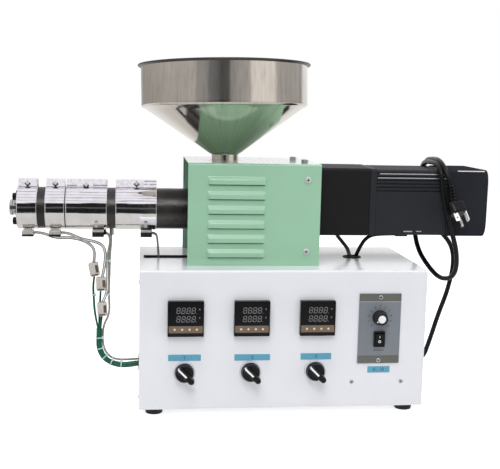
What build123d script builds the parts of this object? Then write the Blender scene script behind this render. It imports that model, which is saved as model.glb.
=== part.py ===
from build123d import *
from math import radians, tan
import os

# A benchtop plastic extruder: a sheet-metal control cabinet on rubber feet, a folded
# green cover over the feed block, a stainless hopper, a heated barrel that reaches out
# to the left and a gear motor that reaches out to the right.
# Millimetres, +Z up, +X towards the motor; the front panel faces -Y. The origin lies
# under the middle of the machine's own box, on the surface that it stands on.

os.makedirs("parts", exist_ok=True)

# Cabinet
cabinet_width = 391.0
cabinet_depth = 203.0
cabinet_height = 190.0
panel_sheet = 1.5
cabinet_bend = 3.0
foot_height = 10.0
foot_diameter = 26.0
foot_taper = 1.5
foot_inset = 20.7

# Wire slot and grommets of the cabinet
slot_start = 6.0
slot_length = 74.0
slot_width = 20.0
slot_depth = 14.0
slot_setback = 109.0
top_grommet_diameter = 27.5
top_grommet_height = 2.0
top_grommet_x = 310.7
top_grommet_setback = 111.5
side_grommet_diameter = 26.0
side_grommet_height = 1.2
side_grommet_setback = 100.0
side_grommet_rise = 38.0

# Drive axis: the barrel, the screw and the gearhead's output shaft lie on it
axis_setback = 105.0
axis_rise = 70.2

# Green cover: front, top and back are one folded sheet, both ends are open
cover_inset = 64.5
cover_length = 182.0
cover_height = 140.0
cover_setback = 36.7
cover_depth = 153.6
cover_sheet = 1.5
cover_bend = 3.0
louvre_count = 6
louvre_pitch = 19.9
louvre_length = 79.0
louvre_height = 11.0
louvre_flat = 6.0
louvre_proud = 3.2
louvre_slit = 1.4
louvre_inset = 26.6
louvre_rise = 12.0
neck_hole_gap = 1.0

# Feed block, thrust housing and motor plate inside the cover
feed_block_length = 70.0
feed_block_width = 76.0
feed_block_height = 38.0
throat_seat_depth = 8.0
thrust_housing_diameter = 72.0
motor_plate_recess = 10.5
motor_plate_thickness = 18.0
shaft_diameter = 15.0
shaft_clearance = 0.5
shaft_reach = 30.0

# Barrel, screw, die and nozzle
barrel_diameter = 57.5
barrel_reach = 232.5
barrel_bore = 25.0
screw_clearance = 0.2
throat_diameter = 24.0
die_length = 26.0
orifice_diameter = 3.0
nozzle_diameter = 21.8
nozzle_length = 11.2
nozzle_chamfer = 1.2
nozzle_groove_width = 2.4
nozzle_groove_depth = 1.0

# Heater bands, from the die towards the cover
band_wall = 1.5
band_inset = 0.5
band_lengths = (27.3, 26.6, 56.6, 57.2)
band_gaps = (10.7, 1.2, 11.4)
lip_height = 10.2
lip_thickness = 1.5
lip_gap = 3.0
terminal_length = 15.8
terminal_width = 14.0
terminal_drop = 7.6
terminal_offset = 14.0
terminal_places = (5.5, 3.7, 35.7, 34.1)
probe_diameter = 6.0
probe_drop = 8.5
probe_offset = 5.0

# Hopper
hopper_inset = 53.5
hopper_sheet = 1.2
hopper_radius = 115.6
hopper_cylinder = 57.0
hopper_lip = 5.4
hopper_bead = 1.4
cone_height = 67.0
neck_diameter = 37.7
neck_shoulder = 2.6
cone_above_cover = 9.0

# Gearhead and motor: the motor's axis lies above the output shaft
drive_size = 95.0
shaft_offset = 16.5
gearhead_length = 84.8
gearhead_corner = 4.0
flange_length = 8.6
motor_length = 103.6
motor_corner = 6.0
motor_inset = 1.0
rib_count = 15
rib_pitch = 5.0
rib_groove = 2.4
rib_depth = 2.2
fan_cover_length = 66.9
fan_cover_corner = 11.0
fan_cover_end = 10.0
lead_boss_diameter = 9.0
lead_boss_height = 3.0
lead_clamp_length = 18.0
lead_clamp_height = 7.0

# Temperature controllers on the front panel
controller_size = 48.0
controller_proud = 7.5
controller_corner = 1.2
controller_places = (61.5, 150.0, 239.2)
controller_rise = 126.0
window_margin = 1.3
window_depth = 1.0
window_height = 31.6
strip_gap = 0.6
strip_height = 9.4

# Selector switches: ring, round knob and a handle with a tail
selector_places = (60.6, 149.8, 238.6)
selector_rise = 51.5
selector_ring_diameter = 29.5
selector_ring_height = 3.0
selector_knob_diameter = 24.6
selector_knob_height = 8.0
selector_handle_width = 9.0
selector_handle_height = 8.0
selector_tail = 5.0
selector_tip_inset = 0.6
selector_angle = 45.0
knob_clearance = 0.3

# Speed control: plate, dial knob and rocker switch
speed_plate_width = 58.3
speed_plate_height = 97.5
speed_plate_thickness = 2.0
speed_plate_inset = 65.1
speed_plate_rise = 110.0
dial_rise = 15.5
dial_diameter = 21.0
dial_height = 12.0
dial_skirt = 2.0
dial_cap_diameter = 10.6
dial_cap_depth = 0.8
rocker_drop = 14.3
rocker_frame_width = 15.5
rocker_frame_height = 21.5
rocker_frame_proud = 3.2
rocker_rim = 1.75
rocker_gap = 0.3
rocker_pivot = 1.6
rocker_throw = 8.0
rocker_rise_at_middle = 2.2

# Label strips: middle, rise, width and height of each; the speed label's middle is measured
# from the speed plate's
label_thickness = 0.5
label_places = (
    (60.7, 71.5, 43.9, 8.6),
    (152.0, 71.1, 48.4, 8.6),
    (239.4, 71.5, 42.4, 8.8),
)
speed_label = (1.6, 52.0, 31.2, 8.8)

# Power cord, its gland and its plug
power_cord_diameter = 7.0
gland_diameter = 19.0
gland_nut = 6.0
gland_length = 15.0
gland_setback = 150.0
gland_rise = 16.0
plug_start = (434.8, 44.0, 304.5)
plug_elbow = (441.5, 42.0, 283.6)
plug_direction = (0.06, -0.64, -0.77)
relief_diameter = 10.5
plug_width = 26.0
plug_thickness = 20.0
plug_neck_length = 10.0
plug_length = 25.0
plug_corner = 3.0
blade_width = 6.4
blade_thickness = 1.6
blade_length = 17.0
blade_spacing = 13.7
blade_slant = 30.0
blade_offset = 4.5
earth_blade_length = 20.0
earth_blade_offset = 5.8

# Heater leads, probe lead, green wires and motor leads
lead_diameter = 3.0
probe_lead_diameter = 3.2
green_wire_diameter = 2.6
trunk_diameter = 6.5
motor_lead_diameter = 5.5
connector_length = 19.0
connector_width = 13.6
connector_depth = 14.0
connector_corner = 1.5
connector_places = ((-63.8, 100.0, 173.5), (-54.2, 100.0, 152.5), (-52.7, 100.0, 116.0))
connector_tilts = (-10.0, -2.0, -3.0)

# Routes of the free cords, point by point, from the cabinet's lower front left corner
power_cord_route = (
    (406.0, 150.0, 16.0),
    (437.0, 150.0, 16.0),
    (450.5, 153.0, 54.0),
    (462.5, 156.5, 92.0),
    (477.0, 161.0, 128.0),
    (487.0, 165.0, 172.0),
    (481.0, 168.0, 204.0),
    (452.0, 171.0, 230.0),
    (428.0, 172.0, 268.0),
    (421.0, 163.0, 334.0),
    (423.0, 106.0, 340.0),
    (424.5, 50.0, 336.0),
    (428.0, 52.0, 290.0),
    (441.0, 51.5, 246.0),
    (456.0, 58.0, 203.0),
    (459.0, 76.0, 167.0),
    (445.5, 104.0, 157.0),
    (433.5, 132.0, 173.0),
    (421.5, 152.0, 198.0),
    (416.5, 161.0, 240.0),
    (421.0, 160.0, 284.0),
    (428.0, 163.0, 339.0),
    (430.0, 112.0, 343.0),
    (431.5, 68.0, 342.0),
    (432.6, 47.0, 326.0),
    plug_start,
)
heater_lead_1_route = (
    (-146.2, 91.0, 227.0),
    (-134.0, 91.0, 227.0),
    (-117.0, 95.0, 218.5),
    (-92.0, 99.0, 219.0),
    (-70.0, 100.0, 211.0),
    (-61.5, 100.0, 198.0),
    (-64.5, 100.0, 183.0),
)
heater_lead_2_route = (
    (-110.0, 91.0, 227.0),
    (-99.0, 91.0, 227.0),
    (-82.0, 92.0, 218.0),
    (-60.0, 95.0, 213.5),
    (-48.5, 98.0, 205.5),
    (-48.0, 100.0, 183.0),
    (-52.5, 100.0, 162.0),
)
heater_lead_3_route = (
    (-50.2, 91.0, 227.0),
    (-43.5, 91.0, 227.0),
    (-40.5, 94.0, 216.0),
    (-43.5, 96.5, 201.0),
    (-45.5, 97.0, 184.0),
    (-44.8, 97.0, 160.0),
    (-45.4, 97.0, 139.0),
    (-52.0, 99.0, 126.0),
)
heater_lead_4_route = (
    (16.2, 91.0, 227.0),
    (23.0, 91.0, 227.0),
    (25.0, 100.0, 216.0),
    (26.0, 106.0, 202.0),
    (27.0, 109.0, 188.0),
    (27.0, 109.0, 176.0),
)
probe_lead_route = (
    (-40.2, 100.0, 223.0),
    (-40.2, 100.0, 212.0),
    (-41.8, 101.0, 192.0),
    (-42.4, 101.5, 166.0),
    (-43.5, 101.5, 138.0),
    (-41.8, 101.5, 109.0),
    (-51.0, 102.0, 92.0),
    (-52.5, 102.0, 70.0),
    (-49.5, 103.0, 54.0),
    (-40.0, 104.0, 42.5),
    (-26.0, 105.0, 39.5),
    (-12.0, 105.0, 40.0),
    (-3.0, 105.0, 40.5),
)
green_wire_1_route = (
    (-63.5, 100.0, 164.0),
    (-65.5, 100.0, 152.0),
    (-64.5, 99.0, 132.0),
    (-63.0, 98.0, 109.0),
    (-58.4, 97.1, 88.0),
)
green_wire_2_route = (
    (-55.0, 103.0, 143.0),
    (-55.5, 106.0, 133.0),
    (-56.5, 109.5, 117.0),
    (-57.0, 107.0, 102.0),
    (-56.8, 99.8, 88.0),
)
green_wire_3_route = (
    (-53.0, 99.0, 106.0),
    (-54.2, 98.3, 97.0),
    (-55.2, 97.1, 88.0),
)
green_trunk_route = (
    (-56.8, 98.0, 88.0),
    (-57.5, 98.0, 72.0),
    (-56.5, 98.0, 57.0),
    (-49.5, 98.0, 43.5),
    (-36.0, 98.0, 35.5),
    (-19.0, 98.0, 33.2),
    (-3.0, 98.0, 36.0),
)
motor_lead_1_route = (
    (338.4, 155.5, 260.2),
    (338.4, 166.0, 260.2),
    (325.0, 174.0, 246.0),
    (308.0, 170.0, 230.0),
    (293.0, 155.0, 220.0),
    (300.5, 130.0, 208.5),
    (305.5, 115.0, 201.0),
    (307.0, 112.0, 192.0),
)
motor_lead_2_route = (
    (372.2, 105.0, 225.6),
    (352.0, 105.0, 225.6),
    (333.0, 104.0, 223.0),
    (322.5, 108.0, 209.0),
    (317.0, 112.0, 192.0),
)

# Places along X, from the cabinet's left side
speed_plate_x = cabinet_width - speed_plate_inset
cover_right = cover_inset + cover_length
hopper_x = cover_inset + hopper_inset
die_face_x = cover_inset - barrel_reach
motor_plate_right = cover_right - motor_plate_recess
drive_right = (
    motor_plate_right + gearhead_length + flange_length + motor_length + fan_cover_length
)
tip_x = die_face_x - nozzle_length

speed_label_place = (speed_plate_x + speed_label[0], *speed_label[1:])

# The cabinet's lower front left corner in the part's own frame
selector_proud = (
    selector_ring_height + knob_clearance + selector_knob_height + selector_handle_height
)
hopper_reach = hopper_radius + hopper_lip
foremost = min(-selector_proud, axis_setback - hopper_reach)
rearmost = max(cabinet_depth, axis_setback + hopper_reach)
left = -(tip_x + drive_right) / 2
front = -(foremost + rearmost) / 2
bottom = foot_height

cabinet_right = left + cabinet_width
cabinet_back = front + cabinet_depth
cabinet_top = bottom + cabinet_height
axis_y = front + axis_setback
axis_z = cabinet_top + axis_rise
motor_z = axis_z + shaft_offset
cover_left = left + cover_inset
cover_front = front + cover_setback
cover_top = cabinet_top + cover_height
hopper_axis_x = left + hopper_x
plate_right = left + motor_plate_right
plate_left = plate_right - motor_plate_thickness
feed_block_left = hopper_axis_x - feed_block_length / 2
feed_block_right = hopper_axis_x + feed_block_length / 2
die_face = left + die_face_x
band_radius = barrel_diameter / 2 + band_wall
band_starts = [die_face + band_inset]
for band_length, gap in zip(band_lengths, band_gaps):
    band_starts.append(band_starts[-1] + band_length + gap)


def save(piece, label):
    """Name a finished piece and write it to its own file."""
    piece.label = label
    export_step(piece, f"parts/{label}.step")


def facing_front(x, y, z):
    """A plane that faces the operator: its x runs right, its y runs up."""
    return Plane(origin=(x, y, z), x_dir=(1, 0, 0), z_dir=(0, -1, 0))


def across(x, y=axis_y, z=axis_z):
    """A plane across the drive axis at x: its x runs along +Y, its y runs up."""
    return Plane(origin=(x, y, z), x_dir=(0, 1, 0), z_dir=(1, 0, 0))


# Cabinet: a closed housing between two side panels and a back panel
with BuildPart() as cabinet_body:
    with BuildSketch(Plane.XY.offset(bottom)):
        with Locations(((left + cabinet_right) / 2, (front + cabinet_back - panel_sheet) / 2)):
            Rectangle(cabinet_width - 2 * panel_sheet, cabinet_depth - panel_sheet)
    extrude(amount=cabinet_height)
    top_front = cabinet_body.edges().filter_by(Axis.X).group_by(Axis.Z)[-1].sort_by(Axis.Y)[0]
    fillet(top_front, radius=cabinet_bend)
    with BuildSketch(Plane.XY.offset(cabinet_top)):
        with Locations((left + slot_start + slot_length / 2, front + slot_setback)):
            Rectangle(slot_length, slot_width)
    extrude(amount=-slot_depth, mode=Mode.SUBTRACT)
save(cabinet_body.part, "cabinet_body")

for label, x in (("cabinet_left_panel", left), ("cabinet_right_panel", cabinet_right - panel_sheet)):
    with BuildPart() as side_panel:
        with BuildSketch(Plane.YZ.offset(x)):
            with Locations(((front + cabinet_back) / 2, bottom + cabinet_height / 2)):
                Rectangle(cabinet_depth, cabinet_height)
        extrude(amount=panel_sheet)
        top_front = side_panel.edges().filter_by(Axis.X).group_by(Axis.Z)[-1].sort_by(Axis.Y)[0]
        fillet(top_front, radius=cabinet_bend)
    save(side_panel.part, label)

with BuildPart() as back_panel:
    with BuildSketch(facing_front((left + cabinet_right) / 2, cabinet_back, bottom + cabinet_height / 2)):
        Rectangle(cabinet_width - 2 * panel_sheet, cabinet_height)
    extrude(amount=panel_sheet)
save(back_panel.part, "cabinet_back_panel")

foot_places = {
    "foot_front_left": (left + foot_inset, front + foot_inset),
    "foot_front_right": (cabinet_right - foot_inset, front + foot_inset),
    "foot_back_left": (left + foot_inset, cabinet_back - foot_inset),
    "foot_back_right": (cabinet_right - foot_inset, cabinet_back - foot_inset),
}
for label, (x, y) in foot_places.items():
    with BuildPart() as foot:
        with BuildSketch(Plane.XY):
            with Locations((x, y)):
                Circle(foot_diameter / 2 - foot_taper)
        with BuildSketch(Plane.XY.offset(foot_height)):
            with Locations((x, y)):
                Circle(foot_diameter / 2)
        loft()
    save(foot.part, label)

with BuildPart() as top_grommet:
    with BuildSketch(Plane.XY.offset(cabinet_top)):
        with Locations((left + top_grommet_x, front + top_grommet_setback)):
            Circle(top_grommet_diameter / 2)
    extrude(amount=top_grommet_height)
    fillet(top_grommet.edges().group_by(Axis.Z)[-1], radius=top_grommet_height / 2)
save(top_grommet.part, "top_grommet")

with BuildPart() as side_grommet:
    with BuildSketch(across(left, front + side_grommet_setback, bottom + side_grommet_rise)):
        Circle(side_grommet_diameter / 2)
    extrude(amount=-side_grommet_height)
save(side_grommet.part, "side_grommet")

# Temperature controllers: bezel, tinted window and key strip
window_width = controller_size - 2 * window_margin
window_middle = controller_size / 2 - window_margin - window_height / 2
strip_middle = window_middle - window_height / 2 - strip_gap - strip_height / 2
bezel_front = front - controller_proud
for number, x in enumerate(controller_places, start=1):
    with BuildPart() as controller:
        with BuildSketch(facing_front(left + x, front, bottom + controller_rise)):
            RectangleRounded(controller_size, controller_size, controller_corner)
        extrude(amount=controller_proud)
        with BuildSketch(facing_front(left + x, bezel_front, bottom + controller_rise)):
            with Locations((0, window_middle)):
                Rectangle(window_width, window_height)
            with Locations((0, strip_middle)):
                Rectangle(window_width, strip_height)
        extrude(amount=-window_depth, mode=Mode.SUBTRACT)
    save(controller.part, f"controller_{number}")

for label, middle, height in (
    ("display_windows", window_middle, window_height),
    ("key_strips", strip_middle, strip_height),
):
    with BuildPart() as inserts:
        for x in controller_places:
            with BuildSketch(facing_front(left + x, bezel_front, bottom + controller_rise + middle)):
                Rectangle(window_width, height)
            extrude(amount=-window_depth)
    save(inserts.part, label)

# Selector switches
with BuildPart() as selector_rings:
    for x in selector_places:
        with BuildSketch(facing_front(left + x, front, bottom + selector_rise)):
            Circle(selector_ring_diameter / 2)
        extrude(amount=selector_ring_height)
save(selector_rings.part, "selector_rings")

knob_back = front - selector_ring_height - knob_clearance
handle_back = knob_back - selector_knob_height
handle_length = selector_knob_diameter - selector_tip_inset + selector_tail
for number, x in enumerate(selector_places, start=1):
    knob_plane = facing_front(left + x, knob_back, bottom + selector_rise)
    handle_plane = Plane(
        origin=(left + x, handle_back, bottom + selector_rise),
        x_dir=Vector(1, 0, 0).rotate(Axis.Y, selector_angle),
        z_dir=(0, -1, 0),
    )
    with BuildPart() as selector_knob:
        with BuildSketch(knob_plane):
            Circle(selector_knob_diameter / 2)
        extrude(amount=selector_knob_height)
        with BuildSketch(handle_plane):
            with Locations(((selector_tail + selector_tip_inset) / 2, 0)):
                SlotOverall(handle_length, selector_handle_width)
        extrude(amount=selector_handle_height)
    save(selector_knob.part, f"selector_knob_{number}")

# Speed control
speed_plate_front = front - speed_plate_thickness
with BuildPart() as speed_plate:
    with BuildSketch(facing_front(left + speed_plate_x, front, bottom + speed_plate_rise)):
        Rectangle(speed_plate_width, speed_plate_height)
    extrude(amount=speed_plate_thickness)
save(speed_plate.part, "speed_plate")

dial_z = bottom + speed_plate_rise + dial_rise
dial_plane = facing_front(left + speed_plate_x, speed_plate_front - knob_clearance, dial_z)
with BuildPart() as speed_knob:
    with BuildSketch(dial_plane):
        Circle(dial_diameter / 2)
    extrude(amount=dial_skirt)
    with BuildSketch(dial_plane.offset(dial_skirt)):
        Circle(dial_diameter / 2 - dial_skirt / 2)
    extrude(amount=dial_height - dial_skirt, taper=4)
    with BuildSketch(dial_plane.offset(dial_height)):
        Circle(dial_cap_diameter / 2)
    extrude(amount=-dial_cap_depth, mode=Mode.SUBTRACT)
save(speed_knob.part, "speed_knob")

with BuildPart() as speed_knob_cap:
    with BuildSketch(dial_plane.offset(dial_height - dial_cap_depth)):
        Circle(dial_cap_diameter / 2)
    extrude(amount=2 * dial_cap_depth)
save(speed_knob_cap.part, "speed_knob_cap")

rocker_z = bottom + speed_plate_rise - rocker_drop
rocker_opening_width = rocker_frame_width - 2 * rocker_rim
rocker_opening_height = rocker_frame_height - 2 * rocker_rim
with BuildPart() as rocker_frame:
    with BuildSketch(facing_front(left + speed_plate_x, speed_plate_front, rocker_z)):
        Rectangle(rocker_frame_width, rocker_frame_height)
        Rectangle(rocker_opening_width, rocker_opening_height, mode=Mode.SUBTRACT)
    extrude(amount=rocker_frame_proud)
save(rocker_frame.part, "rocker_frame")

# The rocker's ends follow a circle about its pivot, so it clears the frame as it tips.
# It rests with its lower half pressed in.
rocker_radius = rocker_opening_height / 2 - rocker_gap
rocker_width = rocker_opening_width - 2 * rocker_gap
rocker_pivot_y = speed_plate_front - rocker_pivot
facet_rise = rocker_radius * tan(radians(rocker_throw))
rocker_side = Plane(
    origin=(left + speed_plate_x - rocker_width / 2, rocker_pivot_y, rocker_z),
    x_dir=Vector(0, 0, 1).rotate(Axis.X, rocker_throw),
    z_dir=(1, 0, 0),
)
with BuildPart() as rocker:
    with BuildSketch(rocker_side):
        Circle(rocker_radius)
        with BuildLine(mode=Mode.PRIVATE) as facets:
            Polyline(
                (-rocker_radius, rocker_gap),
                (-rocker_radius, rocker_rise_at_middle + facet_rise),
                (0, rocker_rise_at_middle),
                (rocker_radius, rocker_rise_at_middle + facet_rise),
                (rocker_radius, rocker_gap),
                close=True,
            )
        make_face(facets.edges(), mode=Mode.INTERSECT)
    extrude(amount=rocker_width)
save(rocker.part, "rocker")

with BuildPart() as label_strips:
    for x, rise, width, height in (*label_places, speed_label_place):
        with BuildSketch(facing_front(left + x, front, bottom + rise)):
            Rectangle(width, height)
        extrude(amount=label_thickness)
save(label_strips.part, "label_strips")

# Green cover with pressed louvres, open at both ends
cover_middle_x = cover_left + cover_length / 2
cover_middle_y = cover_front + cover_depth / 2
cover_back = cover_front + cover_depth
louvre_right = cover_left + louvre_inset + louvre_length
with BuildPart() as guard_cover:
    with BuildSketch(Plane.YZ.offset(cover_left)):
        with Locations((cover_middle_y, cabinet_top + cover_height / 2)):
            outline = Rectangle(cover_depth, cover_height)
        fillet(outline.vertices().group_by(Axis.Y)[-1], radius=cover_bend)
        with Locations((cover_middle_y, cabinet_top + (cover_height - cover_sheet) / 2)):
            inside = Rectangle(
                cover_depth - 2 * cover_sheet, cover_height - cover_sheet, mode=Mode.SUBTRACT
            )
    extrude(amount=cover_length)
    with BuildSketch(Plane.XY.offset(cover_top)):
        with Locations((hopper_axis_x, axis_y)):
            Circle(neck_diameter / 2 + neck_hole_gap)
    extrude(amount=-cover_sheet, mode=Mode.SUBTRACT)
    for number in range(louvre_count):
        lip_z = cabinet_top + louvre_rise + number * louvre_pitch
        with BuildSketch(Plane.YZ.offset(cover_left + louvre_inset)):
            with BuildLine():
                Polyline(
                    (cover_front, lip_z),
                    (cover_front - louvre_proud, lip_z),
                    (cover_front - louvre_proud, lip_z + louvre_flat),
                    (cover_front, lip_z + louvre_height),
                    close=True,
                )
            make_face()
        extrude(amount=louvre_length)
        with BuildSketch(Plane.YZ.offset(cover_left + louvre_inset + cover_sheet)):
            with BuildLine():
                Polyline(
                    (cover_front + cover_sheet, lip_z),
                    (cover_front - louvre_slit, lip_z),
                    (cover_front - louvre_slit, lip_z + louvre_flat - cover_sheet / 2),
                    (cover_front + cover_sheet, lip_z + louvre_height - cover_sheet / 2),
                    close=True,
                )
            make_face()
        extrude(amount=louvre_length - 2 * cover_sheet, mode=Mode.SUBTRACT)
save(guard_cover.part, "guard_cover")

# Feed block: the barrel runs through it and the hopper's neck seats in its top
feed_block_top = axis_z + feed_block_height
with BuildPart() as feed_block:
    with BuildSketch(Plane.XY.offset(cabinet_top)):
        with Locations((hopper_axis_x, axis_y)):
            Rectangle(feed_block_length, feed_block_width)
    extrude(amount=feed_block_top - cabinet_top)
    chamfer(feed_block.edges().filter_by(Axis.X).group_by(Axis.Z)[-1], length=cover_bend)
    with BuildSketch(across(feed_block_left)):
        Circle(barrel_diameter / 2)
    extrude(amount=feed_block_length, mode=Mode.SUBTRACT)
    with BuildSketch(Plane.XY.offset(feed_block_top)):
        with Locations((hopper_axis_x, axis_y)):
            Circle(neck_diameter / 2)
    extrude(amount=-throat_seat_depth, mode=Mode.SUBTRACT)
    with BuildSketch(Plane.XY.offset(feed_block_top)):
        with Locations((hopper_axis_x, axis_y)):
            Circle(neck_diameter / 2 - hopper_sheet)
    extrude(amount=axis_z - feed_block_top, mode=Mode.SUBTRACT)
save(feed_block.part, "feed_block")

with BuildPart() as thrust_housing:
    with BuildSketch(across(feed_block_right)):
        Circle(thrust_housing_diameter / 2)
        Circle(shaft_diameter / 2 + shaft_clearance, mode=Mode.SUBTRACT)
    extrude(amount=plate_left - feed_block_right)
save(thrust_housing.part, "thrust_housing")

with BuildPart() as motor_plate:
    with BuildSketch(Plane.YZ.offset(plate_left)):
        with Locations((cover_middle_y, cabinet_top + (cover_height - cover_sheet) / 2)):
            Rectangle(cover_depth - 2 * cover_sheet, cover_height - cover_sheet)
        with Locations((axis_y, axis_z)):
            Circle(shaft_diameter / 2 + shaft_clearance, mode=Mode.SUBTRACT)
    extrude(amount=motor_plate_thickness)
save(motor_plate.part, "motor_plate")

# Barrel, screw, die and nozzle
barrel_start = die_face + die_length
with BuildPart() as barrel:
    with BuildSketch(across(barrel_start)):
        Circle(barrel_diameter / 2)
        Circle(barrel_bore / 2, mode=Mode.SUBTRACT)
    extrude(amount=feed_block_right - barrel_start)
    with BuildSketch(Plane.XY.offset(axis_z)):
        with Locations((hopper_axis_x, axis_y)):
            Circle(throat_diameter / 2)
    extrude(amount=barrel_diameter / 2, mode=Mode.SUBTRACT)
save(barrel.part, "barrel")

with BuildPart() as screw:
    with BuildSketch(across(barrel_start)):
        Circle(barrel_bore / 2 - screw_clearance)
    extrude(amount=feed_block_right - barrel_start)
save(screw.part, "screw")

with BuildPart() as die_head:
    with BuildSketch(across(die_face)):
        Circle(barrel_diameter / 2)
        Circle(orifice_diameter / 2, mode=Mode.SUBTRACT)
    extrude(amount=die_length)
save(die_head.part, "die_head")

with BuildPart() as nozzle:
    with BuildSketch(across(die_face)):
        Circle(nozzle_diameter / 2)
    extrude(amount=-nozzle_length)
    chamfer(nozzle.edges().group_by(Axis.X)[0], length=nozzle_chamfer)
    with BuildSketch(across(die_face - (nozzle_length - nozzle_groove_width) / 2)):
        Circle(nozzle_diameter / 2)
        Circle(nozzle_diameter / 2 - nozzle_groove_depth, mode=Mode.SUBTRACT)
    extrude(amount=-nozzle_groove_width, mode=Mode.SUBTRACT)
    with BuildSketch(across(die_face)):
        Circle(orifice_diameter / 2)
    extrude(amount=-nozzle_length, mode=Mode.SUBTRACT)
save(nozzle.part, "nozzle")

# Heater bands: each is a thin ring with two clamp lips on top
for number, (start, length) in enumerate(zip(band_starts, band_lengths), start=1):
    with BuildPart() as band:
        with BuildSketch(across(start)):
            Circle(band_radius)
            with Locations((0, band_radius + (lip_height - band_wall) / 2)):
                Rectangle(lip_gap + 2 * lip_thickness, lip_height + band_wall)
            Circle(barrel_diameter / 2, mode=Mode.SUBTRACT)
            with Locations((0, band_radius + lip_height / 2 - band_wall)):
                Rectangle(lip_gap, lip_height + 4 * band_wall, mode=Mode.SUBTRACT)
        extrude(amount=length)
    save(band.part, f"heater_band_{number}")

with BuildPart() as terminal_blocks:
    for start, place in zip(band_starts, terminal_places):
        with BuildSketch(across(start + place)):
            with Locations((-terminal_offset, -(band_radius + terminal_drop) / 2)):
                Rectangle(terminal_width, band_radius + terminal_drop)
            Circle(band_radius, mode=Mode.SUBTRACT)
            with Locations((-terminal_offset, 0)):
                Rectangle(2 * terminal_width, band_radius, mode=Mode.SUBTRACT)
        extrude(amount=terminal_length)
save(terminal_blocks.part, "terminal_blocks")

probe_x = band_starts[3] - band_gaps[2] / 2
with BuildPart() as probe:
    with BuildSketch(Plane.XY.offset(axis_z - barrel_diameter / 2 - probe_drop)):
        with Locations((probe_x, axis_y - probe_offset)):
            Circle(probe_diameter / 2)
    extrude(amount=probe_drop + barrel_diameter / 4)
    with BuildSketch(across(band_starts[2])):
        Circle(barrel_diameter / 2)
    extrude(amount=band_lengths[2] + band_gaps[2] + band_lengths[3], mode=Mode.SUBTRACT)
save(probe.part, "probe")

# Hopper: rim, cylinder, cone and neck are one spun shell
neck_foot = feed_block_top - throat_seat_depth
cone_foot = cover_top + cone_above_cover
cone_top = cone_foot + cone_height
hopper_top = cone_top + hopper_cylinder
neck_radius = neck_diameter / 2
with BuildPart() as hopper:
    with BuildSketch(Plane(origin=(hopper_axis_x, axis_y, 0), x_dir=(1, 0, 0), z_dir=(0, -1, 0))):
        with BuildLine():
            shell = FilletPolyline(
                (neck_radius - hopper_sheet / 2, neck_foot),
                (neck_radius - hopper_sheet / 2, cone_foot),
                (neck_radius + neck_shoulder, cone_foot),
                (hopper_radius - hopper_sheet / 2, cone_top),
                (hopper_radius - hopper_sheet / 2, hopper_top - hopper_sheet / 2),
                (hopper_radius + hopper_lip, hopper_top - hopper_sheet / 2),
                radius=hopper_sheet,
            )
        trace(shell, line_width=hopper_sheet)
        with Locations((hopper_radius + hopper_lip - hopper_bead, hopper_top - hopper_bead)):
            Circle(hopper_bead)
    revolve(axis=Axis((hopper_axis_x, axis_y, 0), (0, 0, 1)))
save(hopper.part, "hopper")

# Gearhead, motor and fan cover
gearhead_right = plate_right + gearhead_length
flange_right = gearhead_right + flange_length
motor_right = flange_right + motor_length
with BuildPart() as gearhead:
    with BuildSketch(across(plate_right, z=motor_z)):
        RectangleRounded(drive_size, drive_size, gearhead_corner)
    extrude(amount=gearhead_length)
    with BuildSketch(across(plate_right)):
        Circle(shaft_diameter / 2)
    extrude(amount=-shaft_reach)
save(gearhead.part, "gearhead")

motor_size = drive_size - 2 * motor_inset
back_boss_x = flange_right + lead_boss_diameter
clamp_x = flange_right + motor_length / 2
with BuildPart() as motor:
    with BuildSketch(across(gearhead_right, z=motor_z)):
        RectangleRounded(drive_size, drive_size, gearhead_corner)
    extrude(amount=flange_length)
    with BuildSketch(across(flange_right, z=motor_z)):
        RectangleRounded(motor_size, motor_size, motor_corner)
        for turn in (0, 90):
            with Locations(Location((0, 0, 0), (0, 0, turn))):
                with GridLocations(rib_pitch, 2 * (motor_size - rib_depth), rib_count, 2):
                    Rectangle(rib_groove, motor_size, mode=Mode.SUBTRACT)
    extrude(amount=motor_length)
    with BuildSketch(facing_front(back_boss_x, axis_y + drive_size / 2 + lead_boss_height, axis_z)):
        Circle(lead_boss_diameter / 2)
    extrude(amount=drive_size / 4)
    with BuildSketch(Plane.XY.offset(motor_z - drive_size / 2 - lead_clamp_height)):
        with Locations((clamp_x, axis_y)):
            Rectangle(lead_clamp_length, lead_boss_diameter)
    extrude(amount=drive_size / 4)
save(motor.part, "motor")

with BuildPart() as fan_cover:
    with BuildSketch(across(motor_right, z=motor_z)):
        RectangleRounded(drive_size, drive_size, fan_cover_corner)
    extrude(amount=fan_cover_length)
    fillet(fan_cover.edges().group_by(Axis.X)[-1], radius=fan_cover_end)
save(fan_cover.part, "fan_cover")

# Gland on the cabinet's right side, and the plug on the power cord
gland_y = front + gland_setback
gland_z = bottom + gland_rise
with BuildPart() as cord_gland:
    with BuildSketch(across(cabinet_right, gland_y, gland_z)):
        RegularPolygon(gland_diameter / 2, 6)
    extrude(amount=gland_nut)
    with BuildSketch(across(cabinet_right + gland_nut, gland_y, gland_z)):
        Circle(gland_diameter / 2 - panel_sheet)
    with BuildSketch(across(cabinet_right + gland_length, gland_y, gland_z)):
        Circle(power_cord_diameter / 2 + panel_sheet)
    loft()
save(cord_gland.part, "cord_gland")


def from_corner(points):
    """Points of a route in the part's own frame."""
    return [Vector(left + x, front + y, bottom + z) for x, y, z in points]


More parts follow.
